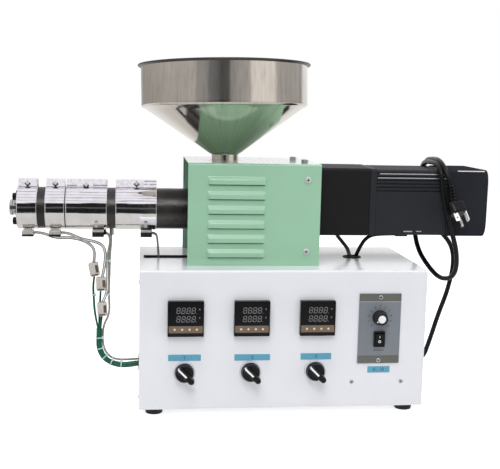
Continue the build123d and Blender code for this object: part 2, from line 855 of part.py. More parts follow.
relief_start, elbow = from_corner((plug_start, plug_elbow))
relief = elbow - relief_start
plug_plane = Plane(origin=elbow, x_dir=(1, 0, 0), z_dir=plug_direction)
with BuildPart() as power_plug:
    with BuildSketch(Plane(origin=relief_start, x_dir=(1, 0, 0), z_dir=relief)):
        Circle(relief_diameter / 2)
    extrude(amount=relief.length)
    with Locations(elbow):
        Sphere(relief_diameter / 2)
    with BuildSketch(plug_plane):
        Circle(relief_diameter / 2)
    with BuildSketch(plug_plane.offset(plug_neck_length)):
        RectangleRounded(plug_width, plug_thickness, plug_corner)
    loft()
    with BuildSketch(plug_plane.offset(plug_neck_length)):
        RectangleRounded(plug_width, plug_thickness, plug_corner)
    extrude(amount=plug_length - plug_neck_length)
    with BuildSketch(plug_plane.offset(plug_length)):
        for side in (-1, 1):
            with Locations((side * blade_spacing / 2, blade_offset)):
                Rectangle(blade_thickness, blade_width, rotation=side * blade_slant)
    extrude(amount=blade_length)
    with BuildSketch(plug_plane.offset(plug_length)):
        with Locations((0, -earth_blade_offset)):
            Rectangle(blade_thickness, blade_width)
    extrude(amount=earth_blade_length)
save(power_plug.part, "power_plug")

with BuildPart() as ceramic_connectors:
    for place, tilt in zip(from_corner(connector_places), connector_tilts):
        with Locations(Location(place, (0, tilt, 0))):
            Box(connector_width, connector_depth, connector_length)
    fillet(ceramic_connectors.edges(), radius=connector_corner)
save(ceramic_connectors.part, "ceramic_connectors")

# Cords: straight runs joined by arcs as large as the runs allow
cords = {
    "power_cord": (power_cord_route, power_cord_diameter),
    "heater_lead_1": (heater_lead_1_route, lead_diameter),
    "heater_lead_2": (heater_lead_2_route, lead_diameter),
    "heater_lead_3": (heater_lead_3_route, lead_diameter),
    "heater_lead_4": (heater_lead_4_route, lead_diameter),
    "probe_lead": (probe_lead_route, probe_lead_diameter),
    "green_wire_1": (green_wire_1_route, green_wire_diameter),
    "green_wire_2": (green_wire_2_route, green_wire_diameter),
    "green_wire_3": (green_wire_3_route, green_wire_diameter),
    "green_trunk": (green_trunk_route, trunk_diameter),
    "motor_lead_1": (motor_lead_1_route, motor_lead_diameter),
    "motor_lead_2": (motor_lead_2_route, motor_lead_diameter),
}
arc_share = 0.45
for label, (route, diameter) in cords.items():
    points = from_corner(route)
    radii = []
    for before, point, after in zip(points, points[1:], points[2:]):
        run_in = point - before
        run_out = after - point
        half_turn = radians(run_in.get_angle(run_out)) / 2
        radii.append(arc_share * min(run_in.length, run_out.length) / tan(half_turn))
    with BuildPart() as cord:
        with BuildLine() as path:
            FilletPolyline(*points, radius=radii)
        with BuildSketch(Plane(origin=path.line @ 0, z_dir=path.line % 0)):
            section = Circle(diameter / 2)
        sweep()
    save(cord.part, label)
    length = path.wires()[0].length
    print(label, "length", round(length, 1), "smallest radius", round(min(radii), 1),
          "volume share", round(cord.part.volume / (section.area * length), 4))
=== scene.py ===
import math

import bmesh
import bpy
from mathutils import Matrix, Vector


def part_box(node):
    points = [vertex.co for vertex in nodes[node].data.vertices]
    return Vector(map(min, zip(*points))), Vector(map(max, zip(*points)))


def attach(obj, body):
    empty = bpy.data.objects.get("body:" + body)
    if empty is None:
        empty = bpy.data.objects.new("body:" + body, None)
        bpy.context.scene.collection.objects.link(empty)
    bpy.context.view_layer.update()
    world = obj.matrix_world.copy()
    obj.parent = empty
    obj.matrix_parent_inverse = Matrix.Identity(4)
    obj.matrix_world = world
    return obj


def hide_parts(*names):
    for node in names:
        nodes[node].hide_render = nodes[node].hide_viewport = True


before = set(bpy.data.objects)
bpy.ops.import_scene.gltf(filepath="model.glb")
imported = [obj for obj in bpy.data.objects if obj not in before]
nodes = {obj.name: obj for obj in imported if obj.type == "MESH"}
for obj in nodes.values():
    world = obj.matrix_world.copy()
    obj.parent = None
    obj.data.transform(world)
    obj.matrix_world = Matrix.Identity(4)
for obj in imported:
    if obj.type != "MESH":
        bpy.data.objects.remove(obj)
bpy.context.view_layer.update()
scene = bpy.context.scene
MM = 0.001

# Everything is placed from the cabinet's lower front left corner, in millimetres
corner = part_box("cabinet_left_panel")[0]
cabinet_width = 391.0
cabinet_top = 190.0
hopper_x = 118.0
axis_setback = 105.0
axis_height = 260.2
motor_height = 276.7


def at(x, y, z):
    """A point in metres, given in millimetres from the cabinet's corner."""
    return corner + Vector((x, y, z)) * MM


# Materials


def srgb(red, green, blue):
    """A colour given as it is seen on a screen, 0 to 255, as linear values."""
    values = []
    for level in (red, green, blue):
        share = level / 255
        values.append(share / 12.92 if share <= 0.04045 else ((share + 0.055) / 1.055) ** 2.4)
    return (*values, 1.0)


def shade(colour, factor):
    """The same colour, lighter or darker."""
    return (*(min(1.0, level * factor) for level in colour[:3]), 1.0)


def start_material(name):
    """A new material, its tree of nodes and its shader."""
    made = bpy.data.materials.new(name)
    made.use_nodes = True
    return made, made.node_tree, made.node_tree.nodes["Principled BSDF"]


def feed(tree, shader, inputs):
    """Gives a shader's inputs their values, or joins them to the outputs that feed them."""
    for socket, value in inputs.items():
        if isinstance(value, bpy.types.NodeSocket):
            tree.links.new(value, shader.inputs[socket])
        else:
            shader.inputs[socket].default_value = value
    return shader


def node(tree, kind, inputs=None, **settings):
    """A shader node with its settings and inputs."""
    made = tree.nodes.new("ShaderNode" + kind)
    for setting, value in settings.items():
        setattr(made, setting, value)
    return feed(tree, made, inputs or {})


def noise(tree, scale, detail=3.0, stretch=(1.0, 1.0, 1.0)):
    """A noise in the object's space, in cycles per metre."""
    place = node(tree, "TexCoord").outputs["Object"]
    mapping = node(tree, "Mapping", {"Vector": place, "Scale": stretch})
    inputs = {"Vector": mapping.outputs["Vector"], "Scale": scale, "Detail": detail}
    return node(tree, "TexNoise", inputs).outputs["Fac"]


def ramp(tree, value, stops):
    """A colour ramp over value, from (place, colour) pairs."""
    made = node(tree, "ValToRGB", {"Fac": value})
    elements = made.color_ramp.elements
    while len(elements) < len(stops):
        elements.new(0.5)
    for element, (place, colour) in zip(elements, stops):
        element.position = place
        element.color = colour
    return made.outputs["Color"]


def spread(tree, value, low, high):
    """The middle of a noise's values spread from low to high."""
    inputs = {"Value": value, "From Min": 0.3, "From Max": 0.7, "To Min": low, "To Max": high}
    return node(tree, "MapRange", inputs).outputs["Result"]


def bump(tree, height, strength, distance):
    """A normal that leans with a height's changes."""
    inputs = {"Height": height, "Strength": strength, "Distance": distance}
    return node(tree, "Bump", inputs).outputs["Normal"]


def skin(name, colour, stops, gloss, roughness, grain, strength, relief, extra):
    """A surface made of three noises: one for its colour, one for its gloss, one for its grain."""
    made, tree, shader = start_material(name)
    feed(tree, shader, {
        "Base Color": ramp(tree, noise(tree, *colour), stops),
        "Roughness": spread(tree, noise(tree, *gloss), *roughness),
        "Normal": bump(tree, noise(tree, *grain), strength, relief),
        **extra,
    })
    return made


def surface(name, colour, roughness, metallic=0.0, tint=0.05, patch=22.0, uneven=0.05,
            grain=1800.0, relief=0.0001, strength=0.3, stretch=(1.0, 1.0, 1.0), coat=0.0,
            specular=0.5):
    """A surface whose colour varies in patches, whose gloss is uneven and whose skin has grain."""
    return skin(
        name, (patch, 4.0, stretch),
        ((0.3, shade(colour, 1 - tint)), (0.7, shade(colour, 1 + tint))),
        (patch * 5, 3.0, stretch), (max(0.02, roughness - uneven), roughness + uneven),
        (grain, 2.0, stretch), strength, relief,
        {"Metallic": metallic, "Coat Weight": coat, "Coat Roughness": 0.1,
         "Specular IOR Level": specular})


white_paint = surface("white_powder_coat", srgb(238, 239, 243), 0.2, tint=0.012, grain=900.0,
                      relief=0.00006, strength=0.15, uneven=0.03, coat=0.25)
green_paint = surface("green_powder_coat", srgb(159, 205, 173), 0.32, tint=0.02, grain=1100.0,
                      relief=0.00006, strength=0.15, uneven=0.04, coat=1.0)
# Flat black that stands in for shade: painted shade in holes, slots, recesses and gaps
painted_shade_black = surface("painted_shade_black", srgb(12, 12, 13), 0.8)
rubber = surface("black_rubber", srgb(26, 26, 27), 0.62, tint=0.15, grain=2600.0, relief=0.0002)
black_plastic = surface("black_plastic", srgb(27, 27, 28), 0.36, tint=0.12, grain=3200.0,
                        relief=0.00008)
gloss_plastic = surface("black_gloss_plastic", srgb(16, 16, 17), 0.2, tint=0.1, relief=0.00003,
                        specular=0.25)
knob_plastic = surface("black_knob_plastic", srgb(13, 13, 15), 0.3, tint=0.12, relief=0.00004,
                       specular=0.3)
cord_sheath = surface("cord_sheath", srgb(16, 16, 17), 0.3, tint=0.12, grain=2200.0,
                      relief=0.00005, specular=0.3)
drive_paint = surface("drive_enamel", srgb(42, 44, 48), 0.48, tint=0.08, grain=1300.0,
                      relief=0.00008, strength=0.25, uneven=0.06, specular=0.18)
fan_paint = surface("fan_cover_enamel", srgb(45, 47, 52), 0.5, tint=0.06, grain=1100.0,
                    relief=0.00006, strength=0.2, uneven=0.05, specular=0.0)
gearhead_paint = surface("gearhead_enamel", srgb(21, 21, 23), 0.58, tint=0.06, grain=1300.0,
                         relief=0.00012, strength=0.3, specular=0.25)
zinc = surface("zinc_screw", srgb(205, 206, 208), 0.24, metallic=1.0, tint=0.08, patch=300.0)
black_oxide = surface("black_oxide_screw", srgb(34, 33, 34), 0.36, metallic=0.6, tint=0.2,
                      patch=400.0)
terminal_steel = surface("terminal_steel", srgb(206, 203, 197), 0.36, metallic=0.45, tint=0.14,
                         patch=150.0)
terminal_dark = surface("terminal_dark", srgb(44, 43, 42), 0.42, metallic=0.5, tint=0.25,
                        patch=260.0)
ceramic = surface("white_ceramic", srgb(205, 200, 192), 0.34, tint=0.05, patch=140.0,
                  grain=1600.0, relief=0.0001, coat=0.3)
ceramic_recess = surface("ceramic_recess", srgb(96, 80, 66), 0.6, tint=0.3, patch=260.0)
lead_braid = surface("braided_lead", srgb(168, 166, 160), 0.5, metallic=0.2, tint=0.25,
                     patch=420.0, grain=3400.0, relief=0.0004, strength=0.6)
green_wire = surface("green_wire_sheath", srgb(6, 100, 72), 0.34, tint=0.14, patch=160.0)
lead_grey = surface("grey_lead_sheath", srgb(118, 114, 99), 0.5, tint=0.15, patch=200.0)
tie_plastic = surface("cable_tie", srgb(206, 226, 218), 0.3, tint=0.05)
window_tint = surface("window_tint", srgb(19, 19, 21), 0.16, tint=0.08, relief=0.00002,
                      specular=0.25)
digit_grey = surface("unlit_digit", srgb(126, 126, 128), 0.5, tint=0.06)
key_bronze = surface("key_strip_bronze", srgb(121, 103, 86), 0.4, tint=0.08, patch=160.0)
key_cream = surface("key_mark_cream", srgb(232, 216, 190), 0.5, tint=0.05)
pale_grey = surface("pale_print", srgb(176, 178, 184), 0.5, tint=0.05)
ring_pale = surface("selector_ring", srgb(206, 210, 216), 0.22, tint=0.05, coat=0.3)
white_mark = surface("white_mark", srgb(244, 244, 246), 0.4, tint=0.02)
plate_grey = surface("speed_plate_grey", srgb(132, 138, 145), 0.34, metallic=0.2, tint=0.05,
                     patch=60.0, stretch=(1.0, 1.0, 0.2))
plate_band = surface("speed_plate_band", srgb(108, 110, 102), 0.4, metallic=0.2, tint=0.06)
plate_print = surface("plate_print", srgb(38, 42, 56), 0.5, tint=0.1)
label_blue = surface("label_blue", srgb(92, 168, 196), 0.3, tint=0.05, patch=60.0, coat=0.2)
label_print = surface("label_print", srgb(22, 62, 96), 0.5, tint=0.1)
blade_metal = surface("plated_blade", srgb(240, 240, 238), 0.32, metallic=0.3, tint=0.05,
                      patch=200.0)
bright_screw = surface("bright_plated_screw", srgb(214, 218, 216), 0.3, metallic=0.25, tint=0.1,
                       patch=300.0)
# Dark green for the line under each louvre's lip: painted shadow
louvre_painted_shadow = surface("louvre_painted_shadow", srgb(56, 98, 70), 0.7, tint=0.1)
block_steel = surface("block_steel", srgb(60, 60, 62), 0.4, metallic=0.7, tint=0.2, patch=60.0)


def make_stainless():
    """Bright rolled stainless sheet with faint upright streaks, by the angle round the hopper."""
    made, tree, shader = start_material("stainless_sheet")
    place = node(tree, "TexCoord").outputs["Object"]
    shifted = node(tree, "VectorMath", {0: place, 1: at(hopper_x, axis_setback, 0.0)},
                   operation="SUBTRACT")
    across, back, rise = node(tree, "SeparateXYZ", {0: shifted.outputs[0]}).outputs
    around = node(tree, "Math", {0: across, 1: back}, operation="ARCTAN2")
    along = node(tree, "CombineXYZ", {0: around.outputs[0], 1: rise})
    streaks = node(tree, "TexNoise", {"Vector": along.outputs[0], "Scale": 24.0, "Detail": 5.0})
    stops = ((0.3, srgb(194, 189, 184)), (0.46, srgb(207, 201, 193)), (0.7, srgb(216, 211, 203)))
    feed(tree, shader, {
        "Metallic": 1.0,
        "Base Color": ramp(tree, streaks.outputs["Fac"], stops),
        "Roughness": spread(tree, noise(tree, 70.0, 5.0), 0.07, 0.15),
        "Normal": bump(tree, streaks.outputs["Fac"], 0.1, 0.0006),
    })
    return made


# Dark heat-tinted steel with fine turning marks round the barrel
barrel_steel = skin(
    "oxidised_barrel_steel", (26.0, 5.0, (1.0, 0.4, 0.4)),
    ((0.3, srgb(58, 56, 55)), (0.5, srgb(67, 65, 64)), (0.68, srgb(79, 76, 74))),
    (90.0, 4.0), (0.26, 0.4), (1.0, 3.0, (2600.0, 12.0, 12.0)), 0.35, 0.0002,
    {"Metallic": 0.75})

# Polished steel strip that ripples along its length, as rolled sheet does
band_chrome = skin(
    "polished_band_steel", (60.0, 3.0), ((0.35, srgb(226, 224, 224)), (0.65, srgb(238, 237, 239))),
    (240.0, 3.0), (0.05, 0.11), (1.0, 2.0, (14.0, 190.0, 190.0)), 0.3, 0.0006, {"Metallic": 1.0})

# The same polished steel, flat, with faint cross marks
lip_chrome = skin(
    "polished_lip_steel", (240.0, 4.0), ((0.35, srgb(214, 212, 213)), (0.6, srgb(240, 239, 241))),
    (240.0, 3.0), (0.06, 0.14), (900.0, 2.0), 0.2, 0.00005, {"Metallic": 1.0})

nozzle_steel = surface("nozzle_steel", srgb(192, 189, 186), 0.2, metallic=1.0, tint=0.1,
                       patch=200.0)
# Darker steel for the hopper's rolled rim and wire: painted shade on the same sheet
rim_painted_shade_steel = surface("hopper_rim_painted_shade", srgb(86, 82, 80), 0.34, metallic=1.0, tint=0.1,
                    patch=30.0)
# Bright metal strips on the motor's ribs and the fan cover's edge: painted highlights
painted_highlight_strip = surface("painted_highlight_edge", srgb(232, 233, 236), 0.3, metallic=0.9, tint=0.05,
                   patch=120.0)


# Shapes


def round_edges(piece, edges, radius, segments):
    """Rounds edges of a bmesh."""
    bmesh.ops.bevel(piece, geom=list(edges), offset=radius, segments=segments, profile=0.5,
                    affect="EDGES", clamp_overlap=True)


class Shape:
    """Faces gathered in millimetres from the cabinet's corner, before they become one object."""

    def __init__(self, *materials):
        self.mesh = bmesh.new()
        self.materials = materials

    def take(self, piece, material=0):
        """Adds the faces of another bmesh, with one of the shape's materials."""
        held = bpy.data.meshes.new("held")
        for face in piece.faces:
            face.material_index = material
        piece.to_mesh(held)
        piece.free()
        self.mesh.from_mesh(held)
        bpy.data.meshes.remove(held)

    def block(self, low, high, bevel=0.0, segments=3, material=0, turn=None):
        """A box between two corners with rounded edges."""
        low, high = Vector(low), Vector(high)
        piece = bmesh.new()
        size = high - low
        middle = (low + high) / 2
        bmesh.ops.create_cube(piece, size=1.0, matrix=Matrix.Diagonal((*size, 1.0)))
        if bevel:
            round_edges(piece, piece.edges, bevel, segments)
        place = Matrix.Translation(middle)
        bmesh.ops.transform(piece, matrix=place @ turn if turn else place, verts=piece.verts)
        self.take(piece, material)

    def bar(self, middle, half, bevel=0.0, segments=3, material=0, turn=None):
        """A box given by its middle and half of its size."""
        middle, half = Vector(middle), Vector(half)
        self.block(middle - half, middle + half, bevel, segments, material, turn)

    def loft(self, loops, material=0, closed=True, caps=True, ring=False, bevel=0.0):
        """Quads between neighbouring loops of as many points; a ring's last meets its first.

        The caps are one face each, or strips across a folded sheet's two ends. A bevel
        rounds the last cap's edges.
        """
        piece = bmesh.new()
        made = [[piece.verts.new(point) for point in loop] for loop in loops]
        for first, second in zip(made, made[1:] + made[:1] if ring else made[1:]):
            for k in range(len(first) if closed else len(first) - 1):
                following = (k + 1) % len(first)
                piece.faces.new((first[k], first[following], second[following], second[k]))
        if caps == "strips":
            for end in (made[0], made[-1]):
                for k in range(len(end) // 2 - 1):
                    piece.faces.new((end[k], end[-1 - k], end[-2 - k], end[k + 1]))
        elif caps:
            piece.faces.new(list(reversed(made[0])))
            last = piece.faces.new(made[-1])
            if bevel:
                round_edges(piece, last.edges, bevel, 2)
        self.take(piece, material)

    def spin(self, profile, origin, axis, segments=64, material=0):
        """A profile of (distance along the axis, radius) points turned about the axis."""
        axis = Vector(axis).normalized()
        side = Vector((1, 0, 0)) if abs(axis.z) > 0.9 else Vector((0, 0, 1))
        side = (side - axis * side.dot(axis)).normalized()
        up = axis.cross(side)
        piece = bmesh.new()
        rings = []
        for along, radius in profile:
            centre = Vector(origin) + axis * along
            if radius < 1e-6:
                rings.append([piece.verts.new(centre)])
                continue
            ring = []
            for step in range(segments):
                turn = 2 * math.pi * step / segments
                ring.append(piece.verts.new(
                    centre + (side * math.cos(turn) + up * math.sin(turn)) * radius))
            rings.append(ring)
        for first, second in zip(rings, rings[1:]):
            for step in range(segments):
                following = (step + 1) % segments
                loop = [first[step % len(first)], second[step % len(second)],
                        second[following % len(second)], first[following % len(first)]]
                corners = list(dict.fromkeys(loop))
                if len(corners) > 2:
                    piece.faces.new(corners)
        bmesh.ops.remove_doubles(piece, verts=piece.verts, dist=0.0001)
        self.take(piece, material)

    def finish(self, name, body="machine", replaces=(), sharp=32.0):
        """The gathered faces as one object that rides on a body."""
        bmesh.ops.recalc_face_normals(self.mesh, faces=self.mesh.faces)
        bmesh.ops.transform(
            self.mesh, matrix=Matrix.Translation(corner) @ Matrix.Scale(MM, 4),
            verts=self.mesh.verts)
        data = bpy.data.meshes.new(name)
        for face in self.mesh.faces:
            face.smooth = True
        self.mesh.to_mesh(data)
        self.mesh.free()
        data.set_sharp_from_angle(angle=math.radians(sharp))
        for each in self.materials:
            data.materials.append(each)
        made = bpy.data.objects.new(name, data)
        scene.collection.objects.link(made)
        flat = made.modifiers.new("flat_faces_stay_flat", "WEIGHTED_NORMAL")
        flat.keep_sharp = True
        flat.weight = 100
        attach(made, body)
        if replaces:
            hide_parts(*replaces)
        return made


def arc(centre, radius, start, end, steps):
    """Points on an arc, from start to end degrees."""
    points = []
    for step in range(steps + 1):
        turn = math.radians(start + (end - start) * step / steps)
        points.append((centre[0] + radius * math.cos(turn), centre[1] + radius * math.sin(turn)))
    return points


def rounded_rectangle(width, height, radius, steps=6):
    """An outline of (across, up) points, counter-clockwise."""
    x, y = width / 2 - radius, height / 2 - radius
    return [
        *arc((x, y), radius, 0, 90, steps), *arc((-x, y), radius, 90, 180, steps),
        *arc((-x, -y), radius, 180, 270, steps), *arc((x, -y), radius, 270, 360, steps),
    ]


def turned(outline, degrees):
    """An outline turned counter-clockwise about its middle."""
    c, s = math.cos(math.radians(degrees)), math.sin(math.radians(degrees))
    return [(u * c - v * s, u * s + v * c) for u, v in outline]


def shift(outline, other, share):
    """Points of one outline moved a share of the way to another's."""
    return [(a[0] + (b[0] - a[0]) * share, a[1] + (b[1] - a[1]) * share)
            for a, b in zip(outline, other)]


def swept(shape, sections, material=0, bevel=0.0):
    """Joins outlines of as many points: each section is (centre, across, up, outline)."""
    shape.loft([[centre + across * u + rise * v for u, v in outline]
                for centre, across, rise, outline in sections], material, bevel=bevel)


def resized(outline, share):
    """An outline made larger or smaller about its middle."""
    return [(u * share, v * share) for u, v in outline]


def add_frame(shape, origin, outer, inner, depth, bevel):
    """A flat frame that faces the operator, between two outlines with as many points."""
    base = Vector(origin)
    ease = bevel / (controller_size / 2)
    shape.loft([[base + Vector((u, y, v)) for u, v in outline] for outline, y in (
        (outer, 0), (outer, -depth + bevel), (resized(outer, 1 - ease), -depth),
        (resized(inner, 1 + ease), -depth), (inner, -depth + bevel), (inner, 0)
    )], caps=False, ring=True)


def dress(material, *names):
    """A CAD node keeps its shape and gets a better material."""
    for name in names:
        data = nodes[name].data
        data.materials.clear()
        data.materials.append(material)


# Camera, solved from the photograph

camera_data = bpy.data.cameras.new("camera")
camera = bpy.data.objects.new("camera", camera_data)
scene.collection.objects.link(camera)
scene.camera = camera
yaw, pitch, roll = (math.radians(angle) for angle in (6.871, -8.238, 1.277))
look = Vector((math.sin(yaw) * math.cos(pitch), math.cos(yaw) * math.cos(pitch), math.sin(pitch)))
right = Vector((math.cos(yaw), -math.sin(yaw), 0.0))
up = right.cross(look)
tilted_right = right * math.cos(roll) + up * math.sin(roll)
tilted_up = up * math.cos(roll) - right * math.sin(roll)
facing = Matrix((tilted_right, tilted_up, -look)).transposed().to_4x4()
camera.matrix_world = Matrix.Translation(at(4.788, -1165.581, 408.689)) @ facing
camera_data.sensor_fit = "HORIZONTAL"
camera_data.sensor_width = 36.0
camera_data.lens = 896.151 / 500 * 36.0
camera_data.clip_start = 0.05
camera_data.clip_end = 60.0
scene.view_settings.view_transform = "Standard"


# Free cords: the control points are the part's own, but for the power cord's loops, which
# follow the photograph a little more closely

cord_routes = {
    "power_cord": (
        (406.0, 150.0, 16.0), (437.0, 150.0, 16.0), (450.5, 153.0, 54.0), (462.5, 156.5, 92.0),
        (477.0, 161.0, 128.0), (487.0, 165.0, 172.0), (481.0, 168.0, 204.0),
        (452.0, 171.0, 230.0), (430.0, 172.0, 268.0), (425.0, 162.0, 327.0),
        (421.0, 106.0, 333.0), (418.5, 50.0, 330.0), (424.0, 51.5, 290.0),
        (436.5, 51.5, 246.0), (452.5, 58.0, 203.0), (457.0, 76.0, 167.0),
        (445.5, 104.0, 157.0), (433.5, 132.0, 173.0), (421.5, 152.0, 198.0),
        (416.5, 161.0, 240.0), (421.0, 160.0, 284.0), (430.0, 162.0, 331.5),
        (428.0, 112.0, 336.5), (422.5, 68.0, 336.5), (425.0, 47.0, 323.5),
        (432.4, 44.0, 303.5),
    ),
    "heater_lead_1": (
        (-146.2, 91.0, 227.0), (-134.0, 91.0, 227.0), (-117.0, 95.0, 218.5),
        (-92.0, 99.0, 219.0), (-70.0, 100.0, 211.0), (-61.5, 100.0, 198.0),
        (-64.5, 100.0, 183.0),
    ),
    "heater_lead_2": (
        (-110.0, 91.0, 227.0), (-99.0, 91.0, 227.0), (-82.0, 92.0, 218.0),
        (-60.0, 95.0, 213.5), (-48.5, 98.0, 205.5), (-48.0, 100.0, 183.0),
        (-52.5, 100.0, 162.0),
    ),
    "heater_lead_3": (
        (-50.2, 91.0, 227.0), (-43.5, 91.0, 227.0), (-40.5, 94.0, 216.0),
        (-43.5, 96.5, 201.0), (-45.5, 97.0, 184.0), (-44.8, 97.0, 160.0),
        (-45.4, 97.0, 139.0), (-52.0, 99.0, 126.0),
    ),
    "heater_lead_4": (
        (16.2, 91.0, 227.0), (23.0, 91.0, 227.0), (25.0, 100.0, 216.0), (26.0, 106.0, 202.0),
        (27.0, 109.0, 188.0), (27.0, 109.0, 176.0),
    ),
    "probe_lead": (
        (-40.2, 100.0, 223.0), (-40.2, 100.0, 212.0), (-41.8, 101.0, 192.0),
        (-42.4, 101.5, 166.0), (-43.5, 101.5, 138.0), (-41.8, 101.5, 109.0),
        (-51.0, 102.0, 92.0), (-52.5, 102.0, 70.0), (-49.5, 103.0, 54.0),
        (-40.0, 104.0, 42.5), (-26.0, 105.0, 39.5), (-12.0, 105.0, 40.0), (-3.0, 105.0, 40.5),
    ),
    "green_wire_1": (
        (-63.5, 100.0, 164.0), (-65.5, 100.0, 152.0), (-64.5, 99.0, 132.0),
        (-63.0, 98.0, 109.0), (-58.4, 97.1, 88.0),
    ),
    "green_wire_2": (
        (-55.0, 103.0, 143.0), (-55.5, 106.0, 133.0), (-56.5, 109.5, 117.0),
        (-57.0, 107.0, 102.0), (-56.8, 99.8, 88.0),
    ),
    "green_wire_3": ((-53.0, 99.0, 106.0), (-54.2, 98.3, 97.0), (-55.2, 97.1, 88.0)),
    "green_trunk": (
        (-56.8, 98.0, 88.0), (-57.5, 98.0, 72.0), (-56.5, 98.0, 57.0), (-49.5, 98.0, 43.5),
        (-36.0, 98.0, 35.5), (-19.0, 98.0, 33.2), (-3.0, 98.0, 36.0),
    ),
    "motor_lead_1": (
        (338.4, 155.5, 260.2), (338.4, 166.0, 260.2), (325.0, 174.0, 246.0),
        (308.0, 170.0, 230.0), (293.0, 155.0, 220.0), (300.5, 130.0, 208.5),
        (305.5, 115.0, 201.0), (307.0, 112.0, 192.0),
    ),
    "motor_lead_2": (
        (372.2, 105.0, 225.6), (352.0, 105.0, 225.6), (333.0, 104.0, 223.0),
        (322.5, 108.0, 209.0), (317.0, 112.0, 192.0),
    ),
}


def route_curve(name, thickness=0.0):
    """A smooth open curve along a cord's route."""
    data = bpy.data.curves.new(name, "CURVE")
    data.dimensions = "3D"
    points = [at(*point) for point in cord_routes[name]]
    spline = data.splines.new("NURBS")
    spline.points.add(len(points) - 1)
    for control, point in zip(spline.points, points):
        control.co = (*point, 1.0)
    spline.order_u = 3
    spline.use_endpoint_u = True
    spline.resolution_u = 14
    data.bevel_depth = thickness / 2 * MM
    data.bevel_resolution = 6
    data.use_fill_caps = True
    made = bpy.data.objects.new(name + "_line", data)
    scene.collection.objects.link(made)
    return made


def route_points(name):
    """Points read along a cord's smooth curve, in metres."""
    line = route_curve(name)
    read = bpy.data.meshes.new_from_object(line)
    points = [vertex.co.copy() for vertex in read.vertices]
    bpy.data.meshes.remove(read)
    bpy.data.objects.remove(line)
    return points


def single_cord(name, thickness, material, slot, **facts):
    """A round cord that follows its route."""
    made = route_curve(name, thickness)
    made.name = name + "_run"
    made.data.materials.append(material)
    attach(made, "machine")
    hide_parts(name)
    return made


def from_corner(points):
    """Points in metres as millimetres from the cabinet's corner."""
    return [(point - corner) / MM for point in points]


def ahead_of(path, k):
    """The way along a path at its point k."""
    return (path[min(k + 1, len(path) - 1)] - path[max(k - 1, 0)]).normalized()


def stranded_cord(name, offsets, radius, twist, material, slot, thickness, **facts):
    """A cord of round strands that twist about its route, in radians per millimetre."""
    path = route_points(name)
    circle = arc((0, 0), radius, 0, 315, 7)
    normal = ahead_of(path, 0).orthogonal().normalized()
    length = 0.0
    places = []
    for k, point in enumerate(from_corner(path)):
        if k:
            length += (path[k] - path[k - 1]).length / MM
        ahead = ahead_of(path, k)
        normal = (normal - ahead * normal.dot(ahead)).normalized()
        places.append((point, normal, ahead.cross(normal), math.degrees(twist * length)))
    shape = Shape(material)
    for offset in offsets:
        sections = []
        for point, first, second, angle in places:
            (u, v), = turned([offset], angle)
            sections.append((point + first * u + second * v, first, second, circle))
        swept(shape, sections)
    made = shape.finish(name + "_run", replaces=(name,), sharp=60.0)
    return made


# Power cord: gland, cord, tapered reliefs and the plug on its end

plug_start = Vector((432.4, 44.0, 303.5))
plug_elbow = Vector((435.6, 42.0, 284.0))
plug_axis = Vector((0.17, -0.6, -0.77)).normalized()
plug_neck = 10.0
plug_length = 25.0


def square_to(way, aside=Vector((1.0, 0.0, 0.0))):
    """The direction square to a way that lies nearest to aside."""
    return (aside - way * aside.dot(way)).normalized()


plug_across = square_to(plug_axis)
plug_up = plug_axis.cross(plug_across)


def make_plug():
    """A moulded straight plug: ribbed relief, soft body, two slanted blades and a round pin."""
    shape = Shape(gloss_plastic, blade_metal, painted_shade_black, nozzle_steel)
    neck_size, body_width, body_height = 10.4, 26.0, 20.0
    relief_rings, neck_rings, rib = 14, 8, 0.6
    ahead = (plug_elbow - plug_start).normalized()
    across = square_to(ahead, plug_across)
    sections = []
    for step in range(relief_rings + 1):
        share = step / relief_rings
        radius = 3.9 + 1.4 * share + (rib if step % 3 else -rib)
        sections.append((plug_start.lerp(plug_elbow, share), across, ahead.cross(across),
                         arc((0, 0), radius, 0, 337.5, 15)))
    for step in range(1, neck_rings + 1):
        share = step / neck_rings
        smooth = share * share * (3 - 2 * share)
        way = ahead.lerp(plug_axis, smooth).normalized()
        across = square_to(way, plug_across)
        outline = rounded_rectangle(neck_size + (body_width - neck_size) * smooth,
                                    neck_size + (body_height - neck_size) * smooth,
                                    5.1 + 2.0 * smooth, 3)
        sections.append((plug_elbow + plug_axis * plug_neck * share, across, way.cross(across),
                         outline))
    for reach, shrink in ((12.0, 0.0), (20.0, 1.0), (23.6, 2.4), (plug_length, 5.0)):
        sections.append((plug_elbow + plug_axis * reach, plug_across, plug_up,
                         rounded_rectangle(body_width - shrink, body_height - shrink, 7.0, 3)))
    swept(shape, sections)
    face = plug_elbow + plug_axis * plug_length
    blade_width, blade_thickness, hole_radius, hole_reach = 6.4, 1.6, 1.2, 7.0
    for aside, rise, slant, reach in ((-6.2, 4.5, -75, 12.0), (8.2, 3.4, -8, 14.0)):
        foot = face + plug_across * aside + plug_up * rise
        blade = []
        for along, width, thick in ((-0.5, blade_width, blade_thickness),
                                    (reach - 1.0, blade_width, blade_thickness),
                                    (reach, 4.6, 1.0)):
            blade.append((foot + plug_axis * along, plug_across, plug_up,
                          turned(rounded_rectangle(thick, width, 0.3, 2), slant)))
        swept(shape, blade, 1)
        # The hole in the broad blade is filled with black: painted shade
        if aside < 0:
            (u, v), = turned([(1.0, 0.0)], slant)
            shape.spin(((-0.83, 0), (-0.83, hole_radius), (0.83, hole_radius), (0.83, 0)),
                       foot + plug_axis * hole_reach, plug_across * u + plug_up * v, 16, 2)
    pin_foot = face + plug_across * 1.0 - plug_up * 5.0
    shape.spin(((-0.5, 2.4), (16.6, 2.4), (17.4, 2.0), (17.4, 1.4), (16.0, 1.3), (16.0, 0)),
               pin_foot, plug_axis, 24, 3)
    return shape.finish("plug", replaces=("power_plug",))


plug = make_plug()
single_cord("power_cord", 7.0, cord_sheath, "cord_black", length=1.019, far_end="plug",
            stiffness="medium", lay="hanging", with_pieces=[plug])


